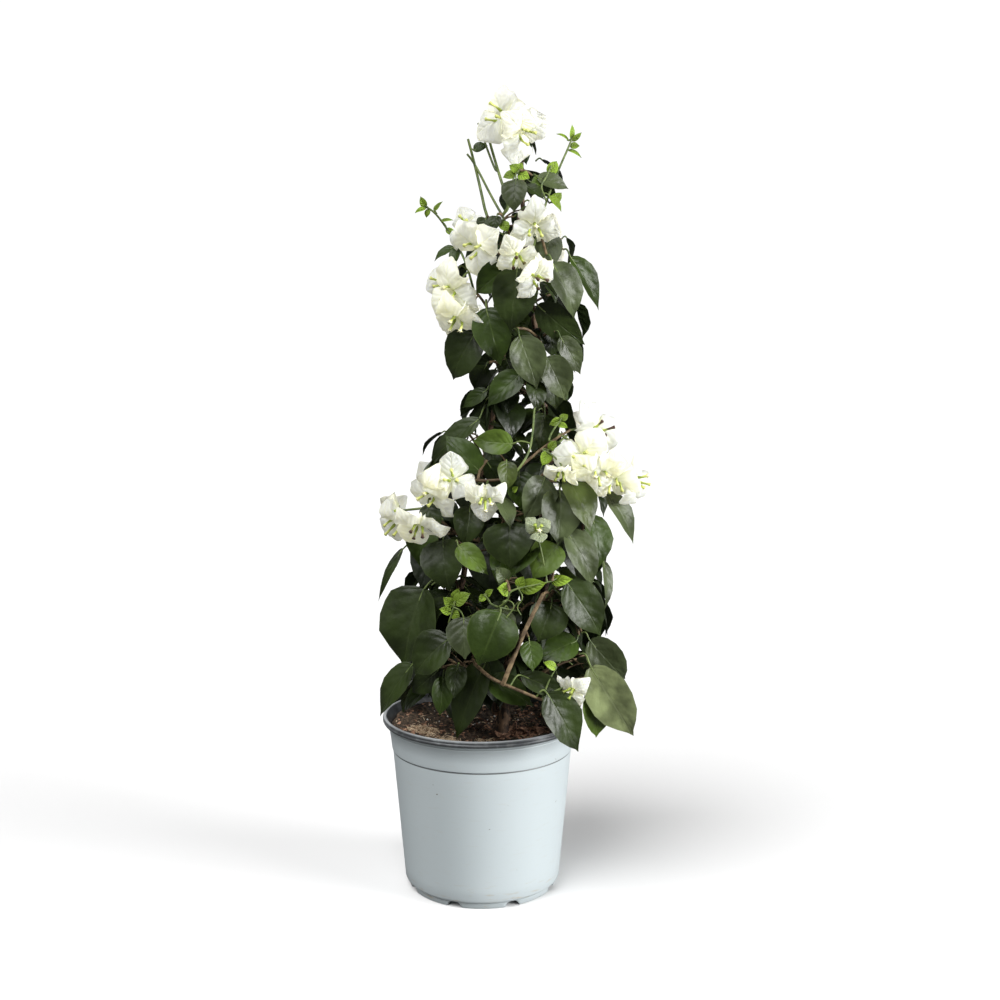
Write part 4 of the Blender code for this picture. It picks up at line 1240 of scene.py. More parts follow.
def grow_stem(mass, join, target, radii, steps, kind):
    """The mass's stem, from the nearest leader that it can leave without touching another."""
    choices = []
    for name in LEADERS:
        for drop in STEM_DROPS:
            height = join - drop
            if leader_start(name).z + BARE_FOOT < height < LEADERS[name][1] - BARE_TIP:
                start, away = leader_side(name, height, target)
                distance = (target - start).length
                if distance > SHORTEST_STEM:
                    choices.append((distance, start, away))
    for distance, start, away in sorted(choices, key=lambda row: row[0]):
        stem = stem_from(start, away, target, steps)
        if mass.add_rod(stem, tapered(radii, steps), kind, from_limb=True):
            mass.stem = stem
            return


def grow_bloom(mass, azimuth, height, reach, turn, pitch):
    """One bloom on its own stalk from near the end of the mass's stem."""
    center = crown_point(height, azimuth, reach)
    face = unit(azimuth + turn, pitch)
    root = along(mass.stem, STALK_PLACE)
    back = center - face * STALK_BACK
    stalk = [root, arched(root, back, STALK_ARCH), center - face * STALK_SINK]
    if mass.add_rod(stalk, tapered(TWIG_RADII, 3), "stalk"):
        mass.add_bloom(center, azimuth + turn, pitch)


def grow_leaf(mass, twig, place, length, swing, outward):
    """Tries a few poses for the leaf at a twig's point and keeps the first that is clear."""
    root = along(twig, place)
    onward = (twig[-1] - twig[-2]).normalized()
    for attempt in range(TRIES):
        wander = LEAF_WANDER[0] + LEAF_WANDER[1] * attempt
        turned_by = swing + mass.chance.uniform(-wander, wander)
        droop = mass.chance.uniform(*FIRST_DROOP)
        droops = (droop, droop + mass.chance.uniform(*ADDED_DROOP))
        roll = mass.chance.gauss(0.0, LEAF_ROLL)
        size = length * mass.chance.uniform(*LEAF_SIZES) * (1.0 - LEAF_SHRINK * attempt)
        leaf = new_leaf(root, outward, turned_by, droops, roll, size)
        bend = (leaf["base"] - root).angle(onward)
        if place == 1.0 and bend > math.radians(SHARPEST_BEND):
            continue
        if mass.add_blade(leaf, mass.rod_numbers[-1:], "grown"):
            return


def grow_twig(mass, share, tip, outward, length):
    """A twig from the mass's stem to tip, arched upwards, with leaves along it."""
    root = along(mass.stem, share)
    twig = bezier(root, arched(root, tip, TWIG_ARCH), tip, TWIG_STEPS)
    if not mass.add_rod(twig, tapered(TWIG_RADII, TWIG_STEPS), "twig"):
        return False
    mass.twigs.append((twig, outward, length))
    grow_leaf(mass, twig, 1.0, length, 0.0, outward)
    side = mass.chance.choice((-1.0, 1.0))
    for place, swing in zip(LEAF_PLACES, LEAF_SWINGS):
        grow_leaf(mass, twig, place, length, swing * side, outward)
    return True


def grow_spray(mass, half, low, high, across, length):
    """One twig towards the outline, at a share across the mass's sector and a chosen height."""
    for _ in range(TRIES):
        wander = mass.chance.uniform(-SPRAY_WANDER, SPRAY_WANDER)
        outward = mass.azimuth + half * (across * SPRAY_SPREAD + wander)
        height = mass.chance.uniform(low, high)
        edge = crown_radius(height, outward) - LEAF_OVERHANG * length
        tip = crown_point(height, outward, edge * mass.chance.uniform(*TIP_REACHES))
        if grow_twig(mass, mass.chance.uniform(*TWIG_PLACES), tip, outward, length):
            return


def grow_shoot(mass, start_height, tip_height, reach, leaves):
    """A young shoot: a long bare stem with small leaves in a spiral near its tip."""
    tip = crown_point(tip_height, mass.azimuth, reach)
    grow_stem(mass, start_height, tip, SHOOT_RADII, SHOOT_STEPS, "shoot")
    for index in range(leaves):
        root = along(mass.stem, 1.0 - SHOOT_LEAFY_SHARE * index / leaves)
        if index == 0:
            root -= (tip - mass.stem[-2]).normalized() * LEAF_SINK
        for _ in range(TRIES):
            wander = mass.chance.uniform(-SHOOT_LEAF_WANDER, SHOOT_LEAF_WANDER)
            swing = GOLDEN_TURN * index + wander
            first = mass.chance.uniform(*SHOOT_LEAF_FIRST)
            droops = (first, mass.chance.uniform(*SHOOT_LEAF_LAST))
            size = SHOOT_LEAF * mass.chance.uniform(*SHOOT_LEAF_SIZES)
            leaf = new_leaf(root, mass.azimuth, swing, droops, 0.0, size)
            if not mass.crown.is_clear(blade(leaf, CLEARANCE), mass.rod_numbers):
                continue
            mass.add_blade(leaf, mass.rod_numbers, "young")
            break


def angle_between(one, other):
    """Degrees between two azimuths."""
    return abs((one - other + 180.0) % 360.0 - 180.0)


crown = Crown(["pot", "soil", "trunk", *LEADERS])
top = Mass(TOP_NAME, 0.0, SEED, crown)
leader_tip = leader_point("leader_front", 1.0)
onward = (leader_tip - leader_point("leader_front", 0.97)).normalized()
start = leader_tip + onward * TOP_GAP
end = line_point(TOP_HEIGHT)
top.stem = bezier(start, start.lerp(end, 0.5), end, STEM_STEPS)
top.add_rod(top.stem, tapered(STEM_RADII, STEM_STEPS), "stem")
for index, (name, row) in enumerate(SHOOTS.items()):
    start_height, azimuth, tip_height, reach, leaves = row
    grow_shoot(Mass(name, azimuth, SEED + 10 + index, crown), start_height, tip_height, reach, leaves)
tiers = {}
for level, (tier, row) in enumerate(reversed(TIERS.items())):
    low, high, count, first = row[:4]
    tiers[tier] = []
    for index in range(count):
        azimuth = first + index * 360.0 / count
        mass = Mass(f"foliage_{tier}_{index + 1}", azimuth, SEED + 100 * (level + 1) + index, crown)
        height = mix(low, high, 0.5)
        target = crown_point(height, azimuth, crown_radius(height, azimuth) * STEM_REACH)
        grow_stem(mass, height - STEM_RISE_TO, target, STEM_RADII, STEM_STEPS, "stem")
        tiers[tier].append(mass)
for bloom in BLOOMS:
    if bloom[1] > TOP_BLOOMS_FROM:
        grow_bloom(top, *bloom)
    for tier, masses in tiers.items():
        if TIERS[tier][0] - BLOOM_SLACK[0] <= bloom[1] < TIERS[tier][1] + BLOOM_SLACK[1]:
            grow_bloom(min(masses, key=lambda mass: angle_between(bloom[0], mass.azimuth)), *bloom)
for index in range(TOP_TWIGS):
    top.azimuth = GOLDEN_TURN * index
    grow_spray(top, TOP_SECTOR, *TOP_TWIG_HEIGHTS, 0.0, TOP_LEAF)
for tier, masses in tiers.items():
    low, high, count, _, length, twigs = TIERS[tier]
    for index in range(twigs):
        for mass in masses:
            grow_spray(mass, 180.0 / count, low, high, (index + 0.5) / twigs * 2.0 - 1.0, length)

# ----------------------------------------------------------------- leaves that lead the best side
# On the best side the largest leaves and the blooms hang outermost, with young sprigs and bare stems
# between them. Each is placed by where the camera sees it, near the crown's outline, and hangs from
# the nearest stem.

VIEW_SIZE = 1000.0
VIEW_SCALE = VIEW_SIZE / 2 / math.tan(math.radians(VIEW_ANGLE / 2))
DEEPEST = 0.16
DEPTH_STEPS = 80
# The crown's two edges as the camera sees them: (down, left, right)
FRONT_EDGES = (
    (90, 478, 550),
    (130, 466, 580),
    (170, 470, 571),
    (200, 440, 568),
    (230, 433, 570),
    (250, 433, 572),
    (265, 430, 590),
    (310, 428, 597),
    (340, 448, 586),
    (370, 452, 582),
    (385, 460, 572),
    (415, 460, 578),
    (422, 456, 590),
    (432, 430, 594),
    (450, 424, 604),
    (480, 408, 630),
    (500, 396, 616),
    (520, 392, 602),
    (545, 400, 601),
    (575, 414, 602),
    (590, 404, 605),
    (604, 384, 603),
    (626, 386, 606),
    (640, 388, 618),
    (654, 402, 624),
    (664, 404, 625),
    (676, 390, 626),
    (700, 380, 628),
    (740, 384, 626),
)
EDGE_SLACK = 0.5
# Where a leaf's edges are looked at: (share of its length, half its width there by its width)
EDGE_STATIONS = ((0.25, 0.5), (0.5, 0.5), (0.8, 0.25), (1.0, 0.0))
GAP_MARGIN = 26.0
# Places in the view that stay open: (left, right, top, bottom)
OPEN_PLACES = (
    (478, 514, 126, 170),
    (537, 590, 108, 164),
    (458, 496, 150, 206),
    (453, 469, 566, 588),
    (455, 474, 430, 442),
    (536, 542, 664, 671),
    (566, 584, 656, 667),
    (610, 630, 726, 764),
    (400, 446, 708, 745),
    (486, 548, 712, 745),
)
# Stems that show: (kind, radius, reach, places in the view)
SHOWN_STEMS = (
    ("twig", 0.0016, 0.90, ((489, 677), (503, 684), (523, 692), (542, 700))),
    ("twig", 0.0021, 0.97, ((503, 684), (511, 664), (524, 632), (543, 594))),
    ("twig", 0.0014, 0.90, ((470, 480), (488, 481), (507, 479), (530, 458), (552, 441), (570, 430))),
    ("twig", 0.0014, 0.85, ((478, 476), (481, 468), (487, 460))),
    ("young", 0.0011, 0.97, ((511, 478), (525, 461), (532, 444), (535, 400))),
    ("young", 0.0011, 0.80, ((538, 234), (545, 204), (560, 166), (570, 144), (572, 137))),
    ("young", 0.0011, 0.90, ((466, 262), (455, 241), (437, 214), (425, 206))),
    ("shoot", 0.0014, 0.70, ((488, 224), (479, 182), (472, 154), (468, 139))),
    ("shoot", 0.0012, 0.70, ((506, 222), (491, 196), (479, 172), (472, 160), (467, 154))),
    ("shoot", 0.0014, 0.70, ((510, 206), (502, 184), (493, 154), (487, 132), (484, 124))),
    ("shoot", 0.0011, 0.72, ((496, 172), (486, 146), (481, 130), (478, 123))),
    ("young", 0.0009, 0.95, ((447, 628), (452, 613), (455, 602))),
    ("young", 0.0009, 0.95, ((492, 606), (488, 599), (484, 594))),
    ("young", 0.0009, 0.98, ((508, 600), (509, 592), (519, 588), (540, 584), (552, 581))),
    ("young", 0.0009, 0.95, ((548, 441), (553, 430), (560, 421))),
    ("young", 0.0009, 0.80, ((512, 186), (514, 176), (520, 170))),
    ("young", 0.0006, 1.00, ((501, 603), (508, 599), (516, 606), (506, 618))),
    ("young", 0.0006, 1.00, ((524, 598), (516, 607), (521, 615))),
    ("young", 0.0009, 0.80, ((540, 186), (546, 178), (551, 166))),
)
# Leaves that show: (base across, base down, tip across, tip down, width, reach, turn, green)
SHOWN_LEAVES = (
    (517, 268, 510, 333, 0.038, 1.00, 0, "dark"),
    (486, 308, 501, 366, 0.035, 0.96, 0, "mid"),
    (476, 332, 450, 381, 0.037, 0.98, 15, "dark"),
    (519, 336, 537, 389, 0.031, 1.00, 0, "grey"),
    (552, 263, 577, 320, 0.030, 0.98, 0, "grey"),
    (570, 257, 599, 311, 0.023, 0.86, 0, "mid"),
    (508, 266, 474, 294, 0.025, 0.92, 0, "mid"),
    (537, 305, 586, 346, 0.027, 0.84, -40, "dark"),
    (560, 337, 581, 375, 0.020, 0.94, 0, "grey"),
    (546, 357, 566, 401, 0.026, 0.97, 0, "grey"),
    (521, 374, 487, 407, 0.025, 0.97, 0, "mid"),
    (516, 180, 514, 213, 0.024, 0.95, 0, "grey"),
    (551, 234, 542, 279, 0.024, 0.88, 0, "grey"),
    (537, 178, 569, 189, 0.014, 0.80, 0, "grey"),
    (525, 186, 545, 199, 0.012, 0.86, 0, "dark"),
    (454, 247, 433, 261, 0.010, 1.00, 0, "mid"),
    (459, 249, 452, 267, 0.012, 0.98, 0, "mid"),
    (486, 218, 481, 232, 0.012, 0.90, 0, "dark"),
    (497, 216, 493, 232, 0.013, 0.90, 0, "dark"),
    (474, 151, 488, 145, 0.010, 0.75, 0, "mid"),
    (486, 366, 474, 390, 0.021, 0.80, 0, "dark"),
    (550, 372, 556, 410, 0.028, 0.75, 0, "dark"),
    (545, 414, 539, 450, 0.024, 0.68, 0, "dark"),
    (548, 326, 553, 358, 0.024, 0.68, 0, "dark"),
    (487, 390, 463, 408, 0.014, 0.92, 0, "mid"),
    (513, 444, 471, 441, 0.021, 1.00, 0, "fresh"),
    (480, 419, 425, 469, 0.019, 0.95, -20, "dark"),
    (480, 472, 445, 435, 0.026, 0.92, 0, "mid"),
    (545, 478, 524, 521, 0.028, 0.97, 0, "grey"),
    (519, 472, 523, 512, 0.025, 0.89, 0, "mid"),
    (470, 506, 465, 547, 0.025, 0.94, 0, "dark"),
    (428, 504, 437, 536, 0.020, 1.12, 0, "dark"),
    (560, 490, 558, 547, 0.033, 0.98, 0, "grey"),
    (568, 478, 591, 533, 0.029, 1.05, 0, "olive"),
    (606, 493, 635, 545, 0.023, 1.00, 0, "grey"),
    (566, 531, 595, 588, 0.029, 0.97, 0, "grey"),
    (592, 515, 598, 572, 0.026, 0.90, 0, "mid"),
    (510, 523, 510, 570, 0.043, 0.94, -20, "dark"),
    (558, 545, 532, 580, 0.030, 1.00, 0, "fresh"),
    (536, 542, 512, 576, 0.022, 0.94, 0, "mid"),
    (458, 546, 489, 575, 0.019, 1.00, 0, "fresh"),
    (443, 540, 449, 592, 0.038, 0.86, 0, "dark"),
    (403, 548, 378, 602, 0.009, 0.90, 30, "dark"),
    (424, 588, 404, 668, 0.056, 0.97, 0, "dark"),
    (450, 638, 413, 675, 0.036, 1.03, 0, "dark"),
    (413, 664, 379, 717, 0.024, 1.03, 0, "dark"),
    (437, 672, 411, 694, 0.020, 0.94, 0, "dark"),
    (429, 686, 403, 711, 0.016, 0.85, 0, "mid"),
    (443, 676, 440, 717, 0.018, 0.92, 0, "mid"),
    (464, 617, 465, 660, 0.029, 1.00, 0, "grey"),
    (501, 612, 478, 667, 0.040, 0.98, 0, "mid"),
    (552, 603, 538, 643, 0.036, 0.90, 0, "dark"),
    (577, 641, 537, 660, 0.024, 0.94, 0, "mid"),
    (529, 641, 533, 672, 0.019, 0.96, 0, "mid"),
    (487, 661, 457, 739, 0.031, 0.74, 0, "dark"),
    (489, 679, 534, 706, 0.024, 0.76, 0, "mid"),
    (521, 675, 571, 697, 0.018, 0.92, 0, "dark"),
    (547, 693, 578, 752, 0.035, 1.00, 0, "dark"),
    (590, 686, 598, 740, 0.028, 0.95, 0, "fresh"),
    (590, 666, 634, 737, 0.040, 1.00, 0, "pale"),
    (589, 640, 627, 683, 0.032, 0.92, 0, "grey"),
    (566, 582, 602, 637, 0.032, 1.00, 0, "dark"),
    (603, 560, 606, 610, 0.013, 0.90, 30, "grey"),
    (571, 139, 572, 124, 0.006, 0.80, 0, "young"),
    (569, 141, 556, 133, 0.005, 0.80, 0, "young"),
    (572, 141, 582, 132, 0.005, 0.80, 0, "young"),
    (570, 146, 580, 146, 0.006, 0.80, 0, "young"),
    (568, 150, 582, 158, 0.006, 0.80, 0, "young"),
    (549, 175, 557, 160, 0.010, 0.80, 0, "young"),
    (549, 196, 562, 212, 0.010, 0.85, 0, "young"),
    (552, 203, 562, 192, 0.009, 0.80, 0, "young"),
    (426, 207, 420, 196, 0.007, 0.90, 0, "young"),
    (426, 208, 414, 213, 0.005, 0.90, 0, "young"),
    (429, 209, 426, 218, 0.006, 0.90, 0, "young"),
    (434, 211, 443, 201, 0.006, 0.90, 0, "young"),
    (441, 221, 454, 220, 0.005, 0.90, 0, "young"),
    (446, 229, 457, 236, 0.006, 0.90, 0, "young"),
    (519, 171, 509, 165, 0.008, 0.80, 0, "young"),
    (518, 172, 522, 162, 0.008, 0.80, 0, "young"),
    (516, 175, 502, 177, 0.010, 0.80, 0, "young"),
    (518, 174, 530, 178, 0.009, 0.80, 0, "young"),
    (513, 180, 519, 190, 0.009, 0.80, 0, "mid"),
    (543, 181, 530, 184, 0.010, 0.80, 0, "fresh"),
    (502, 222, 508, 232, 0.010, 0.88, 0, "young"),
    (454, 603, 471, 593, 0.011, 1.00, 0, "young"),
    (453, 606, 443, 597, 0.009, 0.98, 0, "young"),
    (452, 611, 460, 619, 0.009, 1.00, 0, "young"),
    (451, 612, 439, 609, 0.008, 0.97, 0, "young"),
    (455, 601, 459, 588, 0.009, 0.98, 0, "young"),
    (485, 595, 479, 602, 0.006, 0.95, 0, "young"),
    (486, 596, 493, 589, 0.006, 0.95, 0, "young"),
    (519, 588, 524, 576, 0.010, 1.00, 0, "young"),
    (510, 591, 497, 588, 0.011, 1.00, 0, "young"),
    (520, 588, 547, 583, 0.013, 1.00, 0, "young"),
    (551, 581, 573, 579, 0.010, 1.00, 0, "young"),
    (561, 420, 549, 425, 0.008, 0.97, 0, "young"),
    (561, 420, 568, 414, 0.007, 0.97, 0, "young"),
    (558, 424, 568, 428, 0.007, 0.97, 0, "young"),
    (548, 452, 542, 466, 0.010, 0.97, 0, "young"),
    (550, 450, 556, 440, 0.008, 0.97, 0, "young"),
    (560, 455, 571, 464, 0.009, 0.97, 0, "fresh"),
    (513, 492, 518, 486, 0.005, 0.97, 0, "young"),
    (556, 668, 543, 662, 0.008, 0.97, 0, "young"),
    (505, 580, 496, 567, 0.013, 0.98, 0, "grey"),
)
# Blooms that show: (across, down, reach, azimuth of the face, its pitch, spin, size, paper)
SHOWN_BLOOMS = (
    (505, 119, 0.70, -133, 8, 88, 1.16, "white"),
    (519, 130, 0.80, -52, -24, 37, 1.05, "white"),
    (534, 224, 0.98, -85, -36, 88, 0.86, "white"),
    (517, 254, 1.02, -85, -38, 70, 0.80, "white"),
    (532, 275, 1.06, -52, -30, 32, 0.84, "white"),
    (480, 246, 1.04, -122, -18, 40, 1.02, "white"),
    (468, 228, 0.94, -120, 25, 60, 0.74, "white"),
    (454, 290, 1.06, -118, -20, 84, 1.00, "white"),
    (446, 284, 1.00, -138, 12, 20, 0.84, "white"),
    (458, 316, 1.04, -112, -44, -40, 0.92, "white"),
    (582, 455, 1.04, -95, -5, 10, 0.95, "white"),
    (594, 433, 0.98, -50, 18, 60, 1.05, "white"),
    (597, 469, 1.08, -78, -32, 30, 0.95, "white"),
    (614, 476, 1.10, -85, -42, 90, 0.95, "white"),
    (632, 480, 1.12, -32, -6, 80, 0.95, "white"),
    (561, 469, 1.00, -112, -55, 90, 0.66, "white"),
    (434, 490, 1.06, -130, -28, 0, 0.96, "white"),
    (453, 480, 1.04, -95, 18, 90, 0.90, "white"),
    (485, 497, 1.05, -88, -32, 30, 0.76, "white"),
    (399, 520, 1.06, -140, -38, 90, 0.98, "white"),
    (419, 522, 1.06, -105, -48, 60, 0.94, "white"),
    (537, 531, 1.00, -80, 32, 30, 0.50, "faded"),
    (574, 688, 0.94, -128, -22, 30, 0.64, "white"),
)
STALK_RADII = (0.0009, 0.0007)
FINE_RADII = (0.0009, 0.0006)
LED_BEND = 15.0
LED_PETIOLE = 0.16
LED_ARCH = 0.14
LED_ROLL = 11.0
LED_OUTWARD = 0.5
LED_TOWARD = Vector((0.0, -0.6, 0.45))
LED_STALK = 0.6
LED_STALK_DROP = Vector((0.0, 0.0, 0.35))
LED_SWING = 0.30
LED_BASE_SHARE = 0.93
NEAR_ENOUGH = 0.35
LEADER_LEAF_STEP = 0.009
LEADER_LEAVES_FROM = 0.215
LEADER_LEAF_SIZES = (0.024, 0.040)
LEADER_LEAF_DROOPS = (5.0, 60.0)
LEADER_LEAF_BEND = 25.0
LEADER_LEAF_TRIES = 8
camera_eye = Vector(CAMERA_PLACE)
camera_turn = Matrix.Rotation(math.radians(90.0 - CAMERA_DIP), 3, "X")
best_side = random.Random(SEED)


def from_view(across, down, depth):
    """The point at a depth along Y that the camera sees at a place in its view."""
    ray = camera_turn @ Vector((across - VIEW_SIZE / 2, VIEW_SIZE / 2 - down, -VIEW_SCALE))
    return camera_eye + ray * ((depth - camera_eye.y) / ray.y)


def in_view(place):
    """Where the camera sees a point, as across and down."""
    near = camera_turn.transposed() @ (place - camera_eye)
    return (VIEW_SIZE / 2 - VIEW_SCALE * near.x / near.z, VIEW_SIZE / 2 + VIEW_SCALE * near.y / near.z)


def on_crown(across, down, reach):
    """Where a line of sight meets the crown's outline times reach, or else the leaning line's plane."""
    for step in range(DEPTH_STEPS + 1):
        place = from_view(across, down, mix(-DEEPEST, 0.0, step / DEPTH_STEPS))
        off = place - line_point(place.z)
        azimuth = math.degrees(math.atan2(off.y, off.x))
        if off.xy.length < crown_radius(place.z, azimuth) * reach:
            break
    return place


def led_leaf(base, tip, width, turn):
    """A leaf from its base to its tip, its face towards the best side, or turned off it."""
    onward = (tip - base).normalized()
    middle = base.lerp(tip, 0.5)
    outward = middle - line_point(middle.z)
    outward.z = 0.0
    outward.normalize()
    facing = outward * LED_OUTWARD + LED_TOWARD
    facing = Matrix.Rotation(math.radians(turn), 3, "Z") @ facing
    facing = Matrix.Rotation(math.radians(best_side.gauss(0.0, LED_ROLL)), 3, onward) @ facing
    normal = (facing - onward * facing.dot(onward)).normalized()
    bend = math.radians(LED_BEND)
    length = (tip - base).length / math.cos(bend)
    back = (outward * LED_STALK + onward * LED_STALK - LED_STALK_DROP).normalized()
    return {"root": base - back * length * LED_PETIOLE, "base": base,
            "first": onward * math.cos(bend) + normal * math.sin(bend),
            "last": onward * math.cos(bend) - normal * math.sin(bend),
            "normal": normal, "length": length, "width": width}


def stands_out(leaf):
    """True where the camera sees a leaf reach past the crown's two edges."""
    downs = [row[0] for row in FRONT_EDGES]
    for share, wide in EDGE_STATIONS:
        center, onward = blade_spine(leaf, share)
        side = onward.cross(leaf["normal"]).normalized() * (leaf["width"] * wide)
        for corner in (center + side, center - side):
            across, down = in_view(corner)
            left = np.interp(down, downs, [row[1] for row in FRONT_EDGES])
            right = np.interp(down, downs, [row[2] for row in FRONT_EDGES])
            if not left - EDGE_SLACK < across < right + EDGE_SLACK:
                return True
            if any(a < across < b and c < down < d for a, b, c, d in OPEN_PLACES):
                return True
    return False


def shows_in_gap(place):
    """True where the camera sees a point in one of the open places, or close to it."""
    across, down = in_view(place)
    return any(left - GAP_MARGIN < across < right + GAP_MARGIN
               and top - GAP_MARGIN < down < bottom + GAP_MARGIN
               for left, right, top, bottom in OPEN_PLACES)


def carrier_points():
    """Points along every stem and twig that something can hang from."""
    points = []
    for mass in crown.masses:
        for rod_points, _, kind in mass.rods:
            if kind not in ("stalk", "fine"):
                points += [along(rod_points, share / 10) for share in range(2, 11)]
    for name in LEADERS:
        points += [leader_point(name, share / 80) for share in range(6, 80)]
    return points


def nearest_carrier(place):
    return min(carriers, key=lambda carrier: (carrier - place).length)


def hang(mass, root, slack, kind):
    """Joins a root to the nearest stem: right on it within the slack, or by a twig of its own."""
    near = nearest_carrier(root)
    if (near - root).length < slack:
        return near
    radii = FINE_RADII if kind == "young" else TWIG_RADII
    mass.rods.append(([near, arched(near, root, LED_ARCH), root], tapered(radii, 3), kind))
    return root


# Leaves of the rule that would stand out past the crown's two edges are left out
for mass in crown.masses:
    for row in [row for row in mass.leaves if stands_out(row[0])]:
        mass.drop_leaf(row)

# The rule's young shoots give way to the shoots among the stems that show
for mass in crown.masses:
    if mass.name in SHOOTS:
        mass.rods.clear()
        for row in list(mass.leaves):
            mass.drop_leaf(row)

# The best side's own blooms are placed one by one, so the rule keeps only those behind
for mass in crown.masses:
    for bloom in [bloom for bloom in mass.blooms if bloom[0].y < 0.0 or shows_in_gap(bloom[0])]:
        mass.blooms.remove(bloom)
        for number in bloom[-1]:
            crown.let_go(number)
    mass.rods = [row for row in mass.rods
                 if row[2] != "stalk" or row[0][-1].y > 0.0 and not shows_in_gap(row[0][-1])]

lead = Mass("leading", -90.0, SEED, crown)
carriers = carrier_points()
for kind, radius, reach, places in SHOWN_STEMS:
    run = [on_crown(across, down, reach) for across, down in places]
    root = nearest_carrier(run[0])
    if (root - run[0]).length > radius:
        run = [root] + run
    lead.rods.append((run, [radius, radius * 0.75], kind))
    carriers += [along(run, share / 12) for share in range(2, 13)]
for across, down, tip_across, tip_down, width, reach, turn, green in SHOWN_LEAVES:
    base = on_crown(across, down, reach * LED_BASE_SHARE)
    tip = on_crown(tip_across, tip_down, reach)
    seen_length = (from_view(tip_across, tip_down, base.y) - base).length
    swing = LED_SWING * seen_length
    depth = min(max(tip.y, base.y - swing), base.y + swing)
    leaf = led_leaf(base, from_view(tip_across, tip_down, depth), width, turn)
    twig_kind, leaf_kind = ("young", "young") if green == "young" else ("twig", "led")
    leaf["root"] = hang(lead, leaf["root"], NEAR_ENOUGH * leaf["length"], twig_kind)
    leaf["green"] = green
    lead.keep_leaf(leaf, leaf_kind)

for across, down, reach, azimuth, pitch, spin, size, paper in SHOWN_BLOOMS:
    center = on_crown(across, down, reach)
    face = unit(azimuth, pitch)
    back = center - face * STALK_BACK
    near = nearest_carrier(back)
    stalk = [near, arched(near, back, STALK_ARCH), back, center - face * STALK_SINK]
    lead.rods.append((stalk, STALK_RADII, "stalk"))
    numbers = [crown.keep(shape) for shape in bloom_shapes(center, azimuth, pitch, spin, 0.0)]
    lead.blooms.append((center, azimuth, pitch, spin, size, paper, numbers))

# Points on the leading leaves and the blooms, which must all stay in the camera's sight
SIGHT_SHARES = (0.08, 0.30, 0.55, 0.80, 0.97)
SIGHT_HALF = 0.3
SIGHT_FACE = 0.4
SIGHT_OUT = 0.6
sights = []
for leaf, _ in lead.leaves:
    for share in SIGHT_SHARES:
        center, onward = blade_spine(leaf, share)
        side = onward.cross(leaf["normal"]).normalized() * leaf["width"] * SIGHT_HALF
        side *= math.sin(math.pi * share)
        sights += [center + side, center, center - side]
for mass in crown.masses:
    for center, azimuth, pitch, _, size, _, _ in mass.blooms:
        face, across, up = bloom_axes(azimuth, pitch)
        for turn in range(0, 360, 45):
            out = spoke(across, up, math.radians(turn))
            sights.append(center + (face * SIGHT_FACE + out * SIGHT_OUT) * BRACT_LENGTH * size)
        sights.append(center + face * BRACT_LENGTH * SIGHT_FACE)
seen_sights = np.array([in_view(place) for place in sights])


def hides(leaf):
    """True where a leaf hangs between the camera and what must stay in sight."""
    tree, low, high = blade(leaf)
    seen = np.array([in_view(Vector(corner)) for corner in product(*zip(low, high))])
    least, most = seen.min(0), seen.max(0)
    near = ((seen_sights >= least) & (seen_sights <= most)).all(1)
    for index in np.flatnonzero(near):
        ray = sights[index] - camera_eye
        if tree.ray_cast(camera_eye, ray.normalized(), ray.length - CLEARANCE)[0] is not None:
            return True
    return False


lead_shapes = [blade(leaf, CLEARANCE)[0] for leaf, _ in lead.leaves]
lead_shapes += [crown.trees[number] for bloom in lead.blooms for number in bloom[-1]]
for mass in crown.masses[:-1]:
    for row in list(mass.leaves):
        tree = blade(row[0])[0]
        if hides(row[0]) or any(tree.overlap(shape) for shape in lead_shapes):
            mass.drop_leaf(row)

# Shaded leaves sit close along the leading stems and close the gaps between the tiers
limb_numbers = [crown.fixed[name] for name in ("trunk", *LEADERS)]
for name, row in LEADERS.items():
    foot = leader_start(name).z
    steps = int((row[1] - LEADER_LEAVES_FROM) / LEADER_LEAF_STEP)
    for step in range(steps):
        share = (LEADER_LEAVES_FROM + step * LEADER_LEAF_STEP - foot) / (row[1] - foot)
        root = leader_point(name, share)
        for attempt in range(LEADER_LEAF_TRIES):
            droop = best_side.uniform(*LEADER_LEAF_DROOPS)
            droops = (droop, droop + LEADER_LEAF_BEND)
            leaf = new_leaf(root, best_side.uniform(0.0, 360.0), 0.0, droops,
                            best_side.gauss(0.0, LEAF_ROLL), best_side.uniform(*LEADER_LEAF_SIZES))
            if stands_out(leaf) or hides(leaf):
                continue
            if crown.is_clear(blade(leaf, CLEARANCE), limb_numbers):
                leaf["green"] = "dark"
                lead.keep_leaf(leaf, "led")
                break

# ------------------------------------------------------------------------ finer twigs and more leaves
# Each twig carries finer side twigs with a smaller leaf at the tip, and shaded leaves sit on the
# stems inside the crown. Their midribs stay inside the solids' box.

FINE_SEED = 4
FINE_TWIGS = 3
FINE_PLACES = (0.30, 0.96)
FINE_LENGTHS = (0.012, 0.030)
FINE_SWINGS = (25.0, 105.0)
FINE_RISES = (-35.0, 40.0)
FINE_ARCH = 0.15
FINE_LEAF_SIZES = (0.55, 0.92)
FINE_TRIES = 6
FINE_WANDER = (30.0, 8.0)
FINE_SHRINK = 0.05
FINE_FOLLOW = 0.6
INNER_LEAVES = 5
INNER_START = 0.3
INNER_SPAN = 0.65
INNER_SIZES = (0.55, 0.85)
EDGE = 0.004
JOINT_SLACK = 0.0012
TRIM_STEPS = 12
box_low, box_high = (Vector(corner) for corner in cad_box)
fine = random.Random(FINE_SEED)


def within(leaf):
    """True where the midrib stays inside the solids' box."""
    places = [blade_spine(leaf, share)[0] for share in (0.0, 0.4, 1.0)]
    return all(box_low[axis] + EDGE < place[axis] < box_high[axis] - EDGE
               for place in places for axis in range(3))


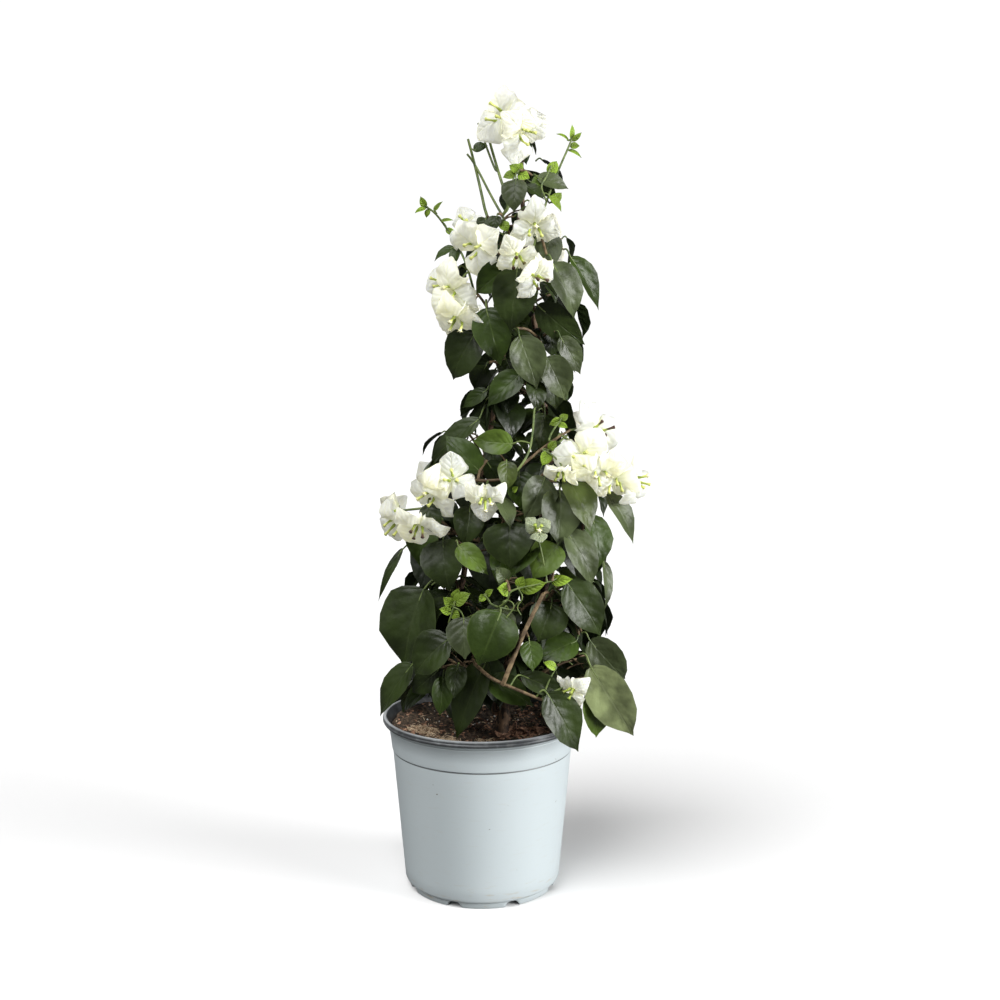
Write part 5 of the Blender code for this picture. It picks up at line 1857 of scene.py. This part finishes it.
def add_fine_leaf(mass, root, outward, length):
    """A leaf that hangs from a fine twig, where there is room for it."""
    for attempt in range(FINE_TRIES):
        first = fine.uniform(*FIRST_DROOP)
        wander = FINE_WANDER[0] + FINE_WANDER[1] * attempt
        swing = fine.uniform(-wander, wander)
        size = length * (1.0 - FINE_SHRINK * attempt)
        leaf = new_leaf(root, outward, swing, (first, first + fine.uniform(*ADDED_DROOP)),
                        fine.gauss(0.0, LEAF_ROLL), size)
        if stands_out(leaf) or hides(leaf):
            continue
        if within(leaf) and mass.add_blade(leaf, mass.rod_numbers, "fine"):
            return


for mass in crown.masses:
    for twig, outward, length in mass.twigs:
        for index in range(FINE_TWIGS):
            root = along(twig, fine.uniform(*FINE_PLACES))
            swing = fine.choice((-1.0, 1.0)) * fine.uniform(*FINE_SWINGS)
            heading = unit(outward + swing, fine.uniform(*FINE_RISES))
            tip = root + heading * fine.uniform(*FINE_LENGTHS)
            points = [root, arched(root, tip, FINE_ARCH), tip]
            if mass.add_rod(points, tapered(FINE_RADII, 3), "fine"):
                size = length * fine.uniform(*FINE_LEAF_SIZES)
                add_fine_leaf(mass, tip, outward + swing * FINE_FOLLOW, size)
    if mass.twigs:
        length = mass.twigs[0][2]
        for index in range(INNER_LEAVES):
            root = along(mass.stem, INNER_START + INNER_SPAN * index / INNER_LEAVES)
            size = length * fine.uniform(*INNER_SIZES)
            add_fine_leaf(mass, root, mass.azimuth + GOLDEN_TURN * index, size)

# A twig ends where the last thing hangs from it, and goes if nothing does
for kind in ("fine", "twig"):
    joints = [leaf["root"] for mass in crown.masses for leaf, _ in mass.leaves]
    joints += [row[0][0] for mass in crown.masses for row in mass.rods]
    joined = KDTree(len(joints))
    for index, place in enumerate(joints):
        joined.insert(place, index)
    joined.balance()
    for mass in crown.masses[:-1]:
        kept_rods = []
        for points, radii, rod_kind in mass.rods:
            if rod_kind == kind:
                used = [step for step in range(2, TRIM_STEPS + 1)
                        if joined.find(along(points, step / TRIM_STEPS))[2] < JOINT_SLACK]
                if not used:
                    continue
                points = [along(points, used[-1] / TRIM_STEPS * step / 3) for step in range(4)]
            kept_rods.append((points, radii, rod_kind))
        mass.rods = kept_rods

# --------------------------------------------------------------------------- side stems, twigs, stalks
# Side stems and twigs are brown and woody. Leaf stalks, flower stalks and young shoots are green.
# One Geometry Nodes tree draws a round section along every one of them.

SWEEP_SIDES = 7
PETIOLE_RADII = (0.00085, 0.00070)
# A leaf stalk's hump: where along it, and how high by the leaf's length
HUMP_PLACE = 0.6
HUMP = 0.08
FULL_LEAF = 0.060
THINNEST_PETIOLE = 0.75
MIDRIB_REACH = 0.16
BLADE_THICKNESS = 0.0004
BROWN_KINDS = ("stem", "twig", "fine")


def rounded(points, passes=2):
    """The same run of points with its bends cut round, both ends kept."""
    for _ in range(passes):
        cut = [points[0]]
        for one, other in zip(points, points[1:]):
            cut += [one.lerp(other, 0.25), one.lerp(other, 0.75)]
        points = cut + [points[-1]]
    return points


def sweeping_tree():
    """Sweeps a round section along lines of edges. Their points hold the radius as thickness."""
    sockets = {"Lines": "Geometry", "Sides": "Int", "Finish": "Material"}
    tree, given, leaving = new_tree("sweeping", "GeometryNodeTree", sockets, {"Limbs": "Geometry"})
    lines = add_node(tree, "GeometryNodeMeshToCurve", {"Mesh": given["Lines"]})
    stored = add_node(tree, "GeometryNodeInputNamedAttribute", {"Name": "thickness"}, data_type="FLOAT")
    thickness = stored.outputs["Attribute"]
    sized = add_node(tree, "GeometryNodeSetCurveRadius",
                     {"Curve": lines.outputs[0], "Radius": thickness})
    section = add_node(tree, "GeometryNodeCurvePrimitiveCircle",
                       {"Resolution": given["Sides"], "Radius": 1.0})
    inputs = {"Curve": sized.outputs[0], "Profile Curve": section.outputs[0], "Fill Caps": True}
    limbs = add_node(tree, "GeometryNodeCurveToMesh", inputs)
    if "Scale" in limbs.inputs:
        tree.links.new(thickness, limbs.inputs["Scale"])
    real = add_node(tree, "GeometryNodeRealizeInstances", {0: limbs.outputs[0]})
    soft = add_node(tree, "GeometryNodeSetShadeSmooth", {0: real.outputs[0], "Shade Smooth": True})
    done = add_node(tree, "GeometryNodeSetMaterial", {0: soft.outputs[0], "Material": given["Finish"]})
    tree.links.new(done.outputs[0], leaving[0])
    return tree


def line_mesh(name, runs):
    """Runs of points as lines of edges, each point with its radius as thickness."""
    points = []
    edges = []
    thicknesses = []
    for run, radii in runs:
        edges += [(len(points) + step, len(points) + step + 1) for step in range(len(run) - 1)]
        points += run
        thicknesses += [mix(radii[0], radii[-1], step / (len(run) - 1)) for step in range(len(run))]
    mesh = bpy.data.meshes.new(name)
    mesh.from_pydata(points, edges, [])
    mesh.attributes.new("thickness", "FLOAT", "POINT").data.foreach_set("value", thicknesses)
    return mesh


woody, tree, shader = new_finish("woody_twig", IOR=1.4)
mottle = grain(tree, 190.0, 4.0)
rough = grain(tree, 900.0, 3.0)
brown = blotched(tree, mottle, 0.36, 0.66, (0.060, 0.036, 0.018), (0.170, 0.120, 0.062))
join_up(tree, shader, brown, scaled(tree, mottle, 0.3, 0.5), rough, 0.0004, 0.7)
green_stalk, tree, shader = new_finish("green_stalk", IOR=1.4)
mottle = grain(tree, 160.0, 3.0)
green = blotched(tree, mottle, 0.35, 0.65, (0.050, 0.078, 0.018), (0.125, 0.165, 0.045))
join_up(tree, shader, green, scaled(tree, mottle, 0.2, 0.38), grain(tree, 1200.0), 0.0002, 0.5)

sweeping = sweeping_tree()
brown_runs = []
green_runs = []
for mass in crown.masses:
    for points, radii, kind in mass.rods:
        (brown_runs if kind in BROWN_KINDS else green_runs).append((rounded(points), radii))
    for leaf, kind in mass.leaves:
        under, onward = blade_spine(leaf, MIDRIB_REACH)
        hump = leaf["root"].lerp(leaf["base"], HUMP_PLACE) + Vector((0.0, 0.0, HUMP * leaf["length"]))
        run = rounded([leaf["root"], hump, leaf["base"], under - leaf["normal"] * BLADE_THICKNESS])
        thickness = mix(THINNEST_PETIOLE, 1.0, leaf["length"] / FULL_LEAF)
        green_runs.append((run, [radius * thickness for radius in PETIOLE_RADII]))
swept = (("woody_twigs", brown_runs, woody), ("green_stalks", green_runs, green_stalk))
for name, runs, finish in swept:
    values = {"Sides": SWEEP_SIDES, "Finish": finish}
    settled(made_by_tree(name, line_mesh(name, runs), sweeping, values))

# ------------------------------------------------------------------------------------------- leaves
# Broad pointed leaves, leathery and satin, dark green above and duller below. Each is folded a little
# along its midrib, waved at the edge and bent down to its tip. Their greens differ from spray to spray.

BLADE_STATIONS = (0.012, 0.065, 0.16, 0.29, 0.45, 0.62, 0.78, 0.91)
BLADE_PLACES = (-1.0, -0.5, 0.0, 0.5, 1.0)
BENEATH_BLADE = (0, 2, 4)
BLADE_POWERS = (0.55, 0.98)
BLADE_DRAWN_OUT = 0.56
BLADE_WIDTHS = (0.92, 1.08)
BLADE_FOLDS = (0.20, 0.55)
BLADE_WAVES = (0.03, 0.12)
BLADE_WAVE_COUNTS = (1.2, 2.2)
WAVE_SHIFT = 1.2
BLADE_HOOKS = (-0.01, 0.10)
HOOK_START = 0.62
HOOK_SPAN = 0.5
BLADE_TWIST = 18.0
LEAF_SEED = 11
# The share of leaves that have their spray's green, and how folded a young leaf is by a grown one
LIKE_SPRAY = 0.35
YOUNG_FOLD = 0.6
# name: (share of the leaves, colour between the veins, colour of the veins). Pale goes only to
# leaves that are placed one by one, and shade to the ones that stand deep inside.
GREENS = {
    "dark": (0.47, (0.0105, 0.0170, 0.0030), (0.034, 0.049, 0.013)),
    "mid": (0.26, (0.0155, 0.0275, 0.0035), (0.046, 0.070, 0.015)),
    "fresh": (0.07, (0.0360, 0.0580, 0.0080), (0.088, 0.130, 0.028)),
    "grey": (0.13, (0.0290, 0.0380, 0.0150), (0.072, 0.090, 0.042)),
    "pale": (0.00, (0.0950, 0.1130, 0.0500), (0.155, 0.180, 0.092)),
    "olive": (0.07, (0.0220, 0.0310, 0.0060), (0.056, 0.070, 0.020)),
    "shade": (0.00, (0.0045, 0.0080, 0.0014), (0.015, 0.022, 0.006)),
}
YOUNG_GREEN = ((0.110, 0.170, 0.016), (0.210, 0.290, 0.060))
# How much the side veins show and how far they stand up
LEAF_VEINS = (0.10, 0.24)
YOUNG_VEINS = (0.30, 0.60)
LEAF_MOTTLE = 2.1
LEAF_SHEEN = 0.27
LEAF_SHINE = 0.25
UNDERSIDE = ((0.020, 0.032, 0.010), (0.048, 0.069, 0.027))
SHADE_SHARE = 0.72


def add_sheet(form, start, rows, end, thickness, kinds, beneath):
    """A thin closed sheet through rows of points, from a point to a point. kinds: (above, below).

    beneath names the places of a row that the underside has."""
    wide = len(rows[0])
    inner = beneath[1:-1]
    points = [start] + [place for row in rows for place in row]
    for index, row in enumerate(rows):
        before, after = rows[max(index - 1, 0)], rows[min(index + 1, len(rows) - 1)]
        for place in inner:
            across, onward = row[place + 1] - row[place - 1], after[place] - before[place]
            points.append(row[place] - across.cross(onward).normalized() * thickness)
    points.append(end)
    below = 1 + len(rows) * wide

    def above(row, place):
        return 1 + row * wide + place

    def under(row, place):
        return below + row * len(inner) + inner.index(place) if place in inner else above(row, place)

    levels = [(row + 1) / (len(rows) + 1) for row in range(len(rows))]
    faces = []
    flats = []
    sheet_kinds = []
    last = len(rows) - 1
    for number, kind, places in ((above, kinds[0], range(wide)), (under, kinds[1], beneath)):
        for place, following in zip(places, places[1:]):
            u, u_next = place / (wide - 1), following / (wide - 1)
            loops = [((0, number(0, following), number(0, place)),
                      ((0.5, 0.0), (u_next, levels[0]), (u, levels[0])))]
            loops.append(((number(last, place), number(last, following), len(points) - 1),
                          ((u, levels[-1]), (u_next, levels[-1]), (0.5, 1.0))))
            for row in range(last):
                v, v_next = levels[row], levels[row + 1]
                loops.append(((number(row, place), number(row, following),
                               number(row + 1, following), number(row + 1, place)),
                              ((u, v), (u_next, v), (u_next, v_next), (u, v_next))))
            for order, (face, flat) in enumerate(loops):
                if (number is under) == (order > 0):
                    face, flat = face[:1] + face[:0:-1], flat[:1] + flat[:0:-1]
                faces.append(face)
                flats.append(flat)
                sheet_kinds.append(kind)
    rims = [0, len(points) - 1]
    rims += [above(row, place) for row in range(len(rows)) for place in (0, wide - 1)]
    form.add(points, faces, flats, sheet_kinds, rims)


def ovate(share, powers, drawn_out):
    """Half the width of a pointed oval at a share of its length, 1 at its widest."""
    rise, fall = powers
    widest = rise / (rise + fall)
    peak = widest ** rise * (1.0 - widest) ** fall
    return share ** rise * (1.0 - share) ** fall / peak * (1.0 - drawn_out * smooth(share * 3.4 - 2.4))


def add_leaf(form, leaf, chance, flat_share=1.0):
    """A real leaf where the stand-in is."""
    fold = chance.uniform(*BLADE_FOLDS) * flat_share
    wave = chance.uniform(*BLADE_WAVES) * flat_share
    waves = chance.uniform(*BLADE_WAVE_COUNTS)
    phase = chance.uniform(0.0, 1.0)
    twist = math.radians(chance.uniform(-BLADE_TWIST, BLADE_TWIST))
    width = leaf["width"] * chance.uniform(*BLADE_WIDTHS)
    hook = chance.uniform(*BLADE_HOOKS) * leaf["length"]

    def pose(share):
        center, onward = blade_spine(leaf, share)
        side = onward.cross(leaf["normal"]).normalized()
        side = Matrix.Rotation(twist * share, 3, onward) @ side
        over = side.cross(onward).normalized()
        return center - over * hook * smooth((share - HOOK_START) / HOOK_SPAN), side, over

    rows = []
    for share in BLADE_STATIONS:
        center, side, over = pose(share)
        half = width / 2 * ovate(share, BLADE_POWERS, BLADE_DRAWN_OUT)
        row = []
        for place in BLADE_PLACES:
            shift = WAVE_SHIFT if place > 0 else 0.0
            ripple = math.sin(2 * math.pi * (share * waves + phase) + shift)
            rise = half * (fold * abs(place) * (1.6 - 0.8 * abs(place)) + wave * ripple * place * place)
            row.append(center + side * half * place + over * rise)
        rows.append(row)
    add_sheet(form, leaf["base"], rows, pose(1.0)[0], BLADE_THICKNESS, (0, 1), BENEATH_BLADE)


def vein_group():
    """Midrib and side veins on a leaf's flat map, as a mask and as relief."""
    sockets = {"Flat": "Vector", **dict.fromkeys(("Pairs", "Slant", "Finest", "Sides"), "Float")}
    results = dict.fromkeys(("Veins", "Rim", "Relief"), "Float")
    tree, given, leaving = new_tree("leaf_veins", "ShaderNodeTree", sockets, results)
    split = add_node(tree, "ShaderNodeSeparateXYZ", {0: given["Flat"]})
    centered = math_node(tree, "SUBTRACT", split.outputs["X"], 0.5)
    off = times(tree, math_node(tree, "ABSOLUTE", centered), 2.0)
    midrib = between(tree, off, 0.075, 0.01)
    lifted = times(tree, math_node(tree, "POWER", off, 0.8), given["Slant"])
    counted = times(tree, split.outputs["Y"], given["Pairs"])
    phase = math_node(tree, "FRACT", math_node(tree, "SUBTRACT", counted, lifted))
    away = math_node(tree, "ABSOLUTE", math_node(tree, "SUBTRACT", phase, 0.5))
    side_veins = times(tree, between(tree, away, 0.10, 0.0), between(tree, off, 1.0, 0.45))
    net = add_node(tree, "ShaderNodeTexVoronoi", {"Vector": given["Flat"], "Scale": given["Finest"]},
                   feature="DISTANCE_TO_EDGE")
    faint = times(tree, given["Sides"], 0.6)
    netting = times(tree, between(tree, net.outputs["Distance"], 0.05, 0.0), faint)
    veins = math_node(tree, "MAXIMUM", midrib, times(tree, side_veins, given["Sides"]))
    veins = math_node(tree, "MAXIMUM", veins, netting)
    tree.links.new(veins, leaving["Veins"])
    tree.links.new(between(tree, off, 0.93, 1.0), leaving["Rim"])
    quilted = times(tree, between(tree, away, 0.0, 0.42), between(tree, off, 1.0, 0.5))
    tree.links.new(math_node(tree, "SUBTRACT", quilted, midrib), leaving["Relief"])
    return tree


leaf_veins = vein_group()


def veined(tree, pairs, slant, finest, sides):
    """Places the vein group in a material, on the piece's own flat map."""
    made = add_node(tree, "ShaderNodeGroup", None, node_tree=leaf_veins)
    tree.links.new(flat_map(tree), made.inputs["Flat"])
    for name, value in (("Pairs", pairs), ("Slant", slant), ("Finest", finest), ("Sides", sides)):
        made.inputs[name].default_value = value
    return made.outputs


def leaf_finish(name, blade_color, vein_color, roughness, sides, relief):
    """Satin leaf skin: mottled between paler veins, with painted light along its edge for light shining
    through.
    """
    finish, tree, shader = new_finish(name, IOR=1.45, Specular_IOR_Level=LEAF_SHINE)
    veins = veined(tree, 7.0, 1.7, 16.0, sides)
    cloud = grain(tree, 38.0, 3.0)
    lighter = tuple(channel * LEAF_MOTTLE for channel in blade_color)
    edged = blotched(tree, cloud, 0.36, 0.66, blade_color, lighter)
    # The rim's share is painted light: a pale edge for light shining through the thin blade
    for mark, share in (("Veins", 0.45), ("Rim", 0.55)):
        edged = mixed(tree, times(tree, veins[mark], share), edged, vein_color)
    pucker = scaled(tree, grain(tree, 85.0, 2.0), 1.8, times(tree, grain(tree, 620.0, 2.0), 0.15))
    raised = scaled(tree, veins["Relief"], relief, pucker)
    join_up(tree, shader, edged, scaled(tree, cloud, 0.24, roughness), raised, 0.0006, 1.0)
    return finish


def sits_inside(leaf):
    """True for a leaf that stands in the shade of the ones outside it."""
    height = leaf["base"].z
    across = leaf["base"] - line_point(height)
    azimuth = math.degrees(math.atan2(across.y, across.x))
    return math.hypot(across.x, across.y) < SHADE_SHARE * crown_radius(height, azimuth)


underside = leaf_finish("leaf_underside", *UNDERSIDE, 0.50, 0.30, -0.6)
chance = random.Random(LEAF_SEED)
forms = {name: Form() for name in (*GREENS, "young")}
shares = [GREENS[name][0] for name in GREENS]
for mass in crown.masses:
    spray = chance.choices(list(GREENS), shares)[0]
    for leaf, kind in mass.leaves:
        own = spray if chance.random() < LIKE_SPRAY else chance.choices(list(GREENS), shares)[0]
        if kind == "young":
            add_leaf(forms["young"], leaf, chance, YOUNG_FOLD)
        else:
            name = leaf.get("green", "shade" if sits_inside(leaf) else own)
            add_leaf(forms[name], leaf, chance)
mass_names = [mass.name for mass in crown.masses if mass is not lead]
for name, form in forms.items():
    colors = YOUNG_GREEN if name == "young" else GREENS[name][1:]
    sides, relief = YOUNG_VEINS if name == "young" else LEAF_VEINS
    finish = leaf_finish(f"leaf_{name}", *colors, LEAF_SHEEN, sides, relief)
    replaced = mass_names if name == "dark" else ()
    form.finished(f"leaves_{name}", (finish, underside), "foliage", replaced)

# ------------------------------------------------------------------------------------------- blooms
# Three papery bracts, ivory with a green throat, stand round three slender yellow-green tubes. A tube
# that has opened ends in a small cream star.

BRACT_STATIONS = (0.03, 0.10, 0.19, 0.29, 0.40, 0.51, 0.62, 0.73, 0.83, 0.91, 0.97)
BRACT_PLACES = (-1.0, -0.8, -0.55, -0.28, 0.0, 0.28, 0.55, 0.8, 1.0)
BRACT_POWERS = (0.50, 0.70)
BRACT_WIDTH_SHARE = 1.04
BRACT_DRAWN_OUT = 0.34
BRACT_SKIN = 0.00035
BRACT_SIZES = (0.94, 1.04)
BRACT_SWAY = 12.0
BRACT_LEAN = 0.12
BRACT_OPENINGS = (24.0, 76.0)
BRACT_OPENING_WANDER = (-12.0, 7.0)
BRACT_CURLS = (-8.0, 34.0)
BRACT_RUFFLES = (0.08, 0.25)
BRACT_WAVE_COUNTS = (1.5, 2.9)
# How far a bract is cupped at its foot and tip, and how deep its creases and pleats are, by its width
BRACT_CUPS = (0.66, 0.06)
BRACT_CREASE = 0.20
BRACT_PLEAT = 0.035
BRACT_SEED = 23
TUBE_STATIONS = (0.0, 0.12, 0.30, 0.60, 0.86, 1.0)
TUBE_SWELLS = (0.70, 1.15, 1.25, 0.80, 0.95, 1.45)
TUBE_SIZES = (0.85, 1.05)
TUBE_BOWS = (-0.0012, 0.0016)
TUBE_SIDES = 8
STAR_RADIUS = 0.0028
STAR_WAIST = 0.45
STAR_POINTS = 5
OPEN_STARS = 0.34
BROWN_TIPS = 0.40
# Light that spreads inside a bract: its share, how far each colour goes, and how deep in metres
BRACT_SOFTNESS = 0.90
BRACT_SOFT_COLORS = (1.0, 0.94, 0.74)
BRACT_SOFT_DEPTH = 0.004
# Painted glow for light that comes through a thin bract from behind, as a share of its own colour
BRACT_GLOW = 0.12


def add_bract(form, center, axes, spin, size, chance):
    """One bract: it rises round the tubes, bends outwards, ruffles at its edge and curls at its tip."""
    face, across, up = axes
    out = spoke(across, up, math.radians(spin + chance.uniform(-BRACT_SWAY, BRACT_SWAY)))
    sideways = face.cross(out)
    length = BRACT_LENGTH * size * chance.uniform(*BRACT_SIZES)
    low, high = (opening + chance.uniform(*BRACT_OPENING_WANDER) for opening in BRACT_OPENINGS)
    curl = chance.uniform(*BRACT_CURLS)
    waves = chance.uniform(*BRACT_WAVE_COUNTS)
    phase = chance.uniform(0.0, 1.0)
    ruffle = chance.uniform(*BRACT_RUFFLES)
    lean = chance.uniform(-BRACT_LEAN, BRACT_LEAN)
    seed = chance.uniform(0.0, 50.0)

    def spine(share):
        opened = math.radians(mix(low, high, share ** 0.7) + curl * smooth(share * 3.0 - 2.0))
        return center + (spoke(face, out, opened) * share + sideways * lean * share * share) * length

    rows = []
    for share in BRACT_STATIONS:
        middle = spine(share)
        onward = (spine(share + 0.02) - spine(share - 0.02)).normalized()
        over = sideways.cross(onward).normalized()
        half = length * BRACT_WIDTH_SHARE / 2 * ovate(share, BRACT_POWERS, BRACT_DRAWN_OUT)
        half *= 1.0 + 0.07 * math.sin(9.0 * share + seed)
        cup = mix(*BRACT_CUPS, share)
        row = []
        for place in BRACT_PLACES:
            edge = math.sin(2 * math.pi * (waves * share + phase) + 2.4 * place) * ruffle
            crease = noise.noise(Vector((share * 4.0, place * 2.6, seed))) * BRACT_CREASE
            pleat = BRACT_PLEAT * math.cos(place * 11.0)
            rise = half * (cup * place * place + edge * abs(place) ** 1.5 + crease + pleat)
            row.append(middle + sideways * half * place + over * rise)
        rows.append(row)
    add_sheet(form, center, rows, spine(1.0), BRACT_SKIN, (0, 1), range(len(BRACT_PLACES)))


def add_star(form, center, face, kind):
    """The small open mouth of a tube: a flat star, closed behind."""
    across = face.orthogonal().normalized()
    up = face.cross(across)
    points = [center + face * 0.0007]
    for corner in range(2 * STAR_POINTS):
        turn = math.pi * corner / STAR_POINTS
        radius = STAR_RADIUS * (STAR_WAIST if corner % 2 else 1.0)
        points.append(center + spoke(across, up, turn) * radius)
    points.append(center - face * 0.0006)
    faces = []
    for corner in range(2 * STAR_POINTS):
        one, other = 1 + corner, 1 + (corner + 1) % (2 * STAR_POINTS)
        faces += [(0, one, other), (len(points) - 1, other, one)]
    form.add(points, faces, [[(0.5, 0.5)] * 3] * len(faces), [kind] * len(faces))


def bract_finish(name, skin_color, vein_color):
    """Papery bract: ivory, greener along its veins and down in its throat."""
    finish, tree, shader = new_finish(
        name, IOR=1.4, Subsurface_Weight=BRACT_SOFTNESS, Subsurface_Radius=BRACT_SOFT_COLORS,
        Subsurface_Scale=BRACT_SOFT_DEPTH, Emission_Strength=BRACT_GLOW)
    veins = veined(tree, 8.0, 2.3, 20.0, 0.34)
    height = add_node(tree, "ShaderNodeSeparateXYZ", {0: flat_map(tree)}).outputs["Y"]
    throat = between(tree, height, 0.27, 0.03)
    cloud = grain(tree, 90.0, 3.0)
    paler = tuple(min(channel * 1.06, 0.95) for channel in skin_color)
    skin = blotched(tree, cloud, 0.35, 0.65, skin_color, paler)
    green = mixed(tree, times(tree, throat, 0.75), skin, (0.46, 0.52, 0.14))
    ribbed = mixed(tree, times(tree, veins["Veins"], 0.26), green, vein_color)
    raised = scaled(tree, veins["Relief"], 0.6, times(tree, cloud, 0.8))
    join_up(tree, shader, ribbed, scaled(tree, cloud, 0.2, 0.5), raised, 0.0006, 0.7)
    # Painted glow: the bract gives out its own colour as light
    tree.links.new(ribbed, shader.inputs["Emission Color"])
    return finish


ivory = bract_finish("bract_inside", (0.955, 0.940, 0.690), (0.80, 0.81, 0.44))
ivory_back = bract_finish("bract_outside", (0.950, 0.930, 0.665), (0.77, 0.78, 0.41))
# A small bloom's bracts in dull grey-green: partly the colour of a dried bloom and partly painted shade
faded = bract_finish("bract_faded", (0.21, 0.24, 0.14), (0.15, 0.18, 0.09))


def tube_finish(name, tip_color):
    """Green flower tube that changes colour towards its closed tip."""
    finish, tree, shader = new_finish(name, IOR=1.4)
    cloud = grain(tree, 260.0, 3.0)
    height = add_node(tree, "ShaderNodeSeparateXYZ", {0: flat_map(tree)}).outputs["Y"]
    green = blotched(tree, cloud, 0.35, 0.65, (0.24, 0.32, 0.040), (0.42, 0.50, 0.10))
    tipped = blotched(tree, height, 0.0085, 0.0135, green, tip_color)
    join_up(tree, shader, tipped, scaled(tree, cloud, 0.2, 0.4), grain(tree, 1400.0), 0.0002, 0.6)
    return finish


tube_skin = tube_finish("flower_tube", (0.62, 0.66, 0.20))
bud_skin = tube_finish("flower_tube_brown", (0.060, 0.030, 0.016))
star_skin, tree, shader = new_finish("flower_star", IOR=1.4)
cloud = grain(tree, 400.0, 3.0)
cream = blotched(tree, cloud, 0.35, 0.65, (0.70, 0.66, 0.36), (0.84, 0.82, 0.60))
join_up(tree, shader, cream, scaled(tree, cloud, 0.2, 0.5), cloud, 0.0003, 0.6)

chance = random.Random(BRACT_SEED)
bracts = {"white": Form(), "faded": Form()}
tubes = Form()
for mass in crown.masses:
    for center, azimuth, pitch, spin, size, paper, _ in mass.blooms:
        axes = bloom_axes(azimuth, pitch)
        tip_kind = 2 if chance.random() < BROWN_TIPS else 0
        for index in range(BRACTS):
            add_bract(bracts[paper], center, axes, spin + index * 360.0 / BRACTS, size, chance)
        for index in range(FLOWER_TUBES):
            out, onward = tube_ways(*axes, math.radians(spin + index * 360.0 / FLOWER_TUBES))
            start = center + out * TUBE_PITCH * size
            length = TUBE_LENGTH * size * chance.uniform(*TUBE_SIZES)
            bow = out * chance.uniform(*TUBE_BOWS)
            points = [start + onward * length * share + bow * math.sin(math.pi * share)
                      for share in TUBE_STATIONS]
            radii = [TUBE_RADIUS * swell for swell in TUBE_SWELLS]
            add_tube(tubes, points, radii, TUBE_SIDES, tip_kind)
            if chance.random() < OPEN_STARS and tip_kind == 0:
                add_star(tubes, points[-1] + onward * 0.0004, onward, 1)
bracts["white"].finished("bracts", (ivory, ivory_back), "foliage")
bracts["faded"].finished("faded_bracts", (faded, faded), "foliage")
tubes.finished("flower_tubes", (tube_skin, star_skin, bud_skin), "foliage")
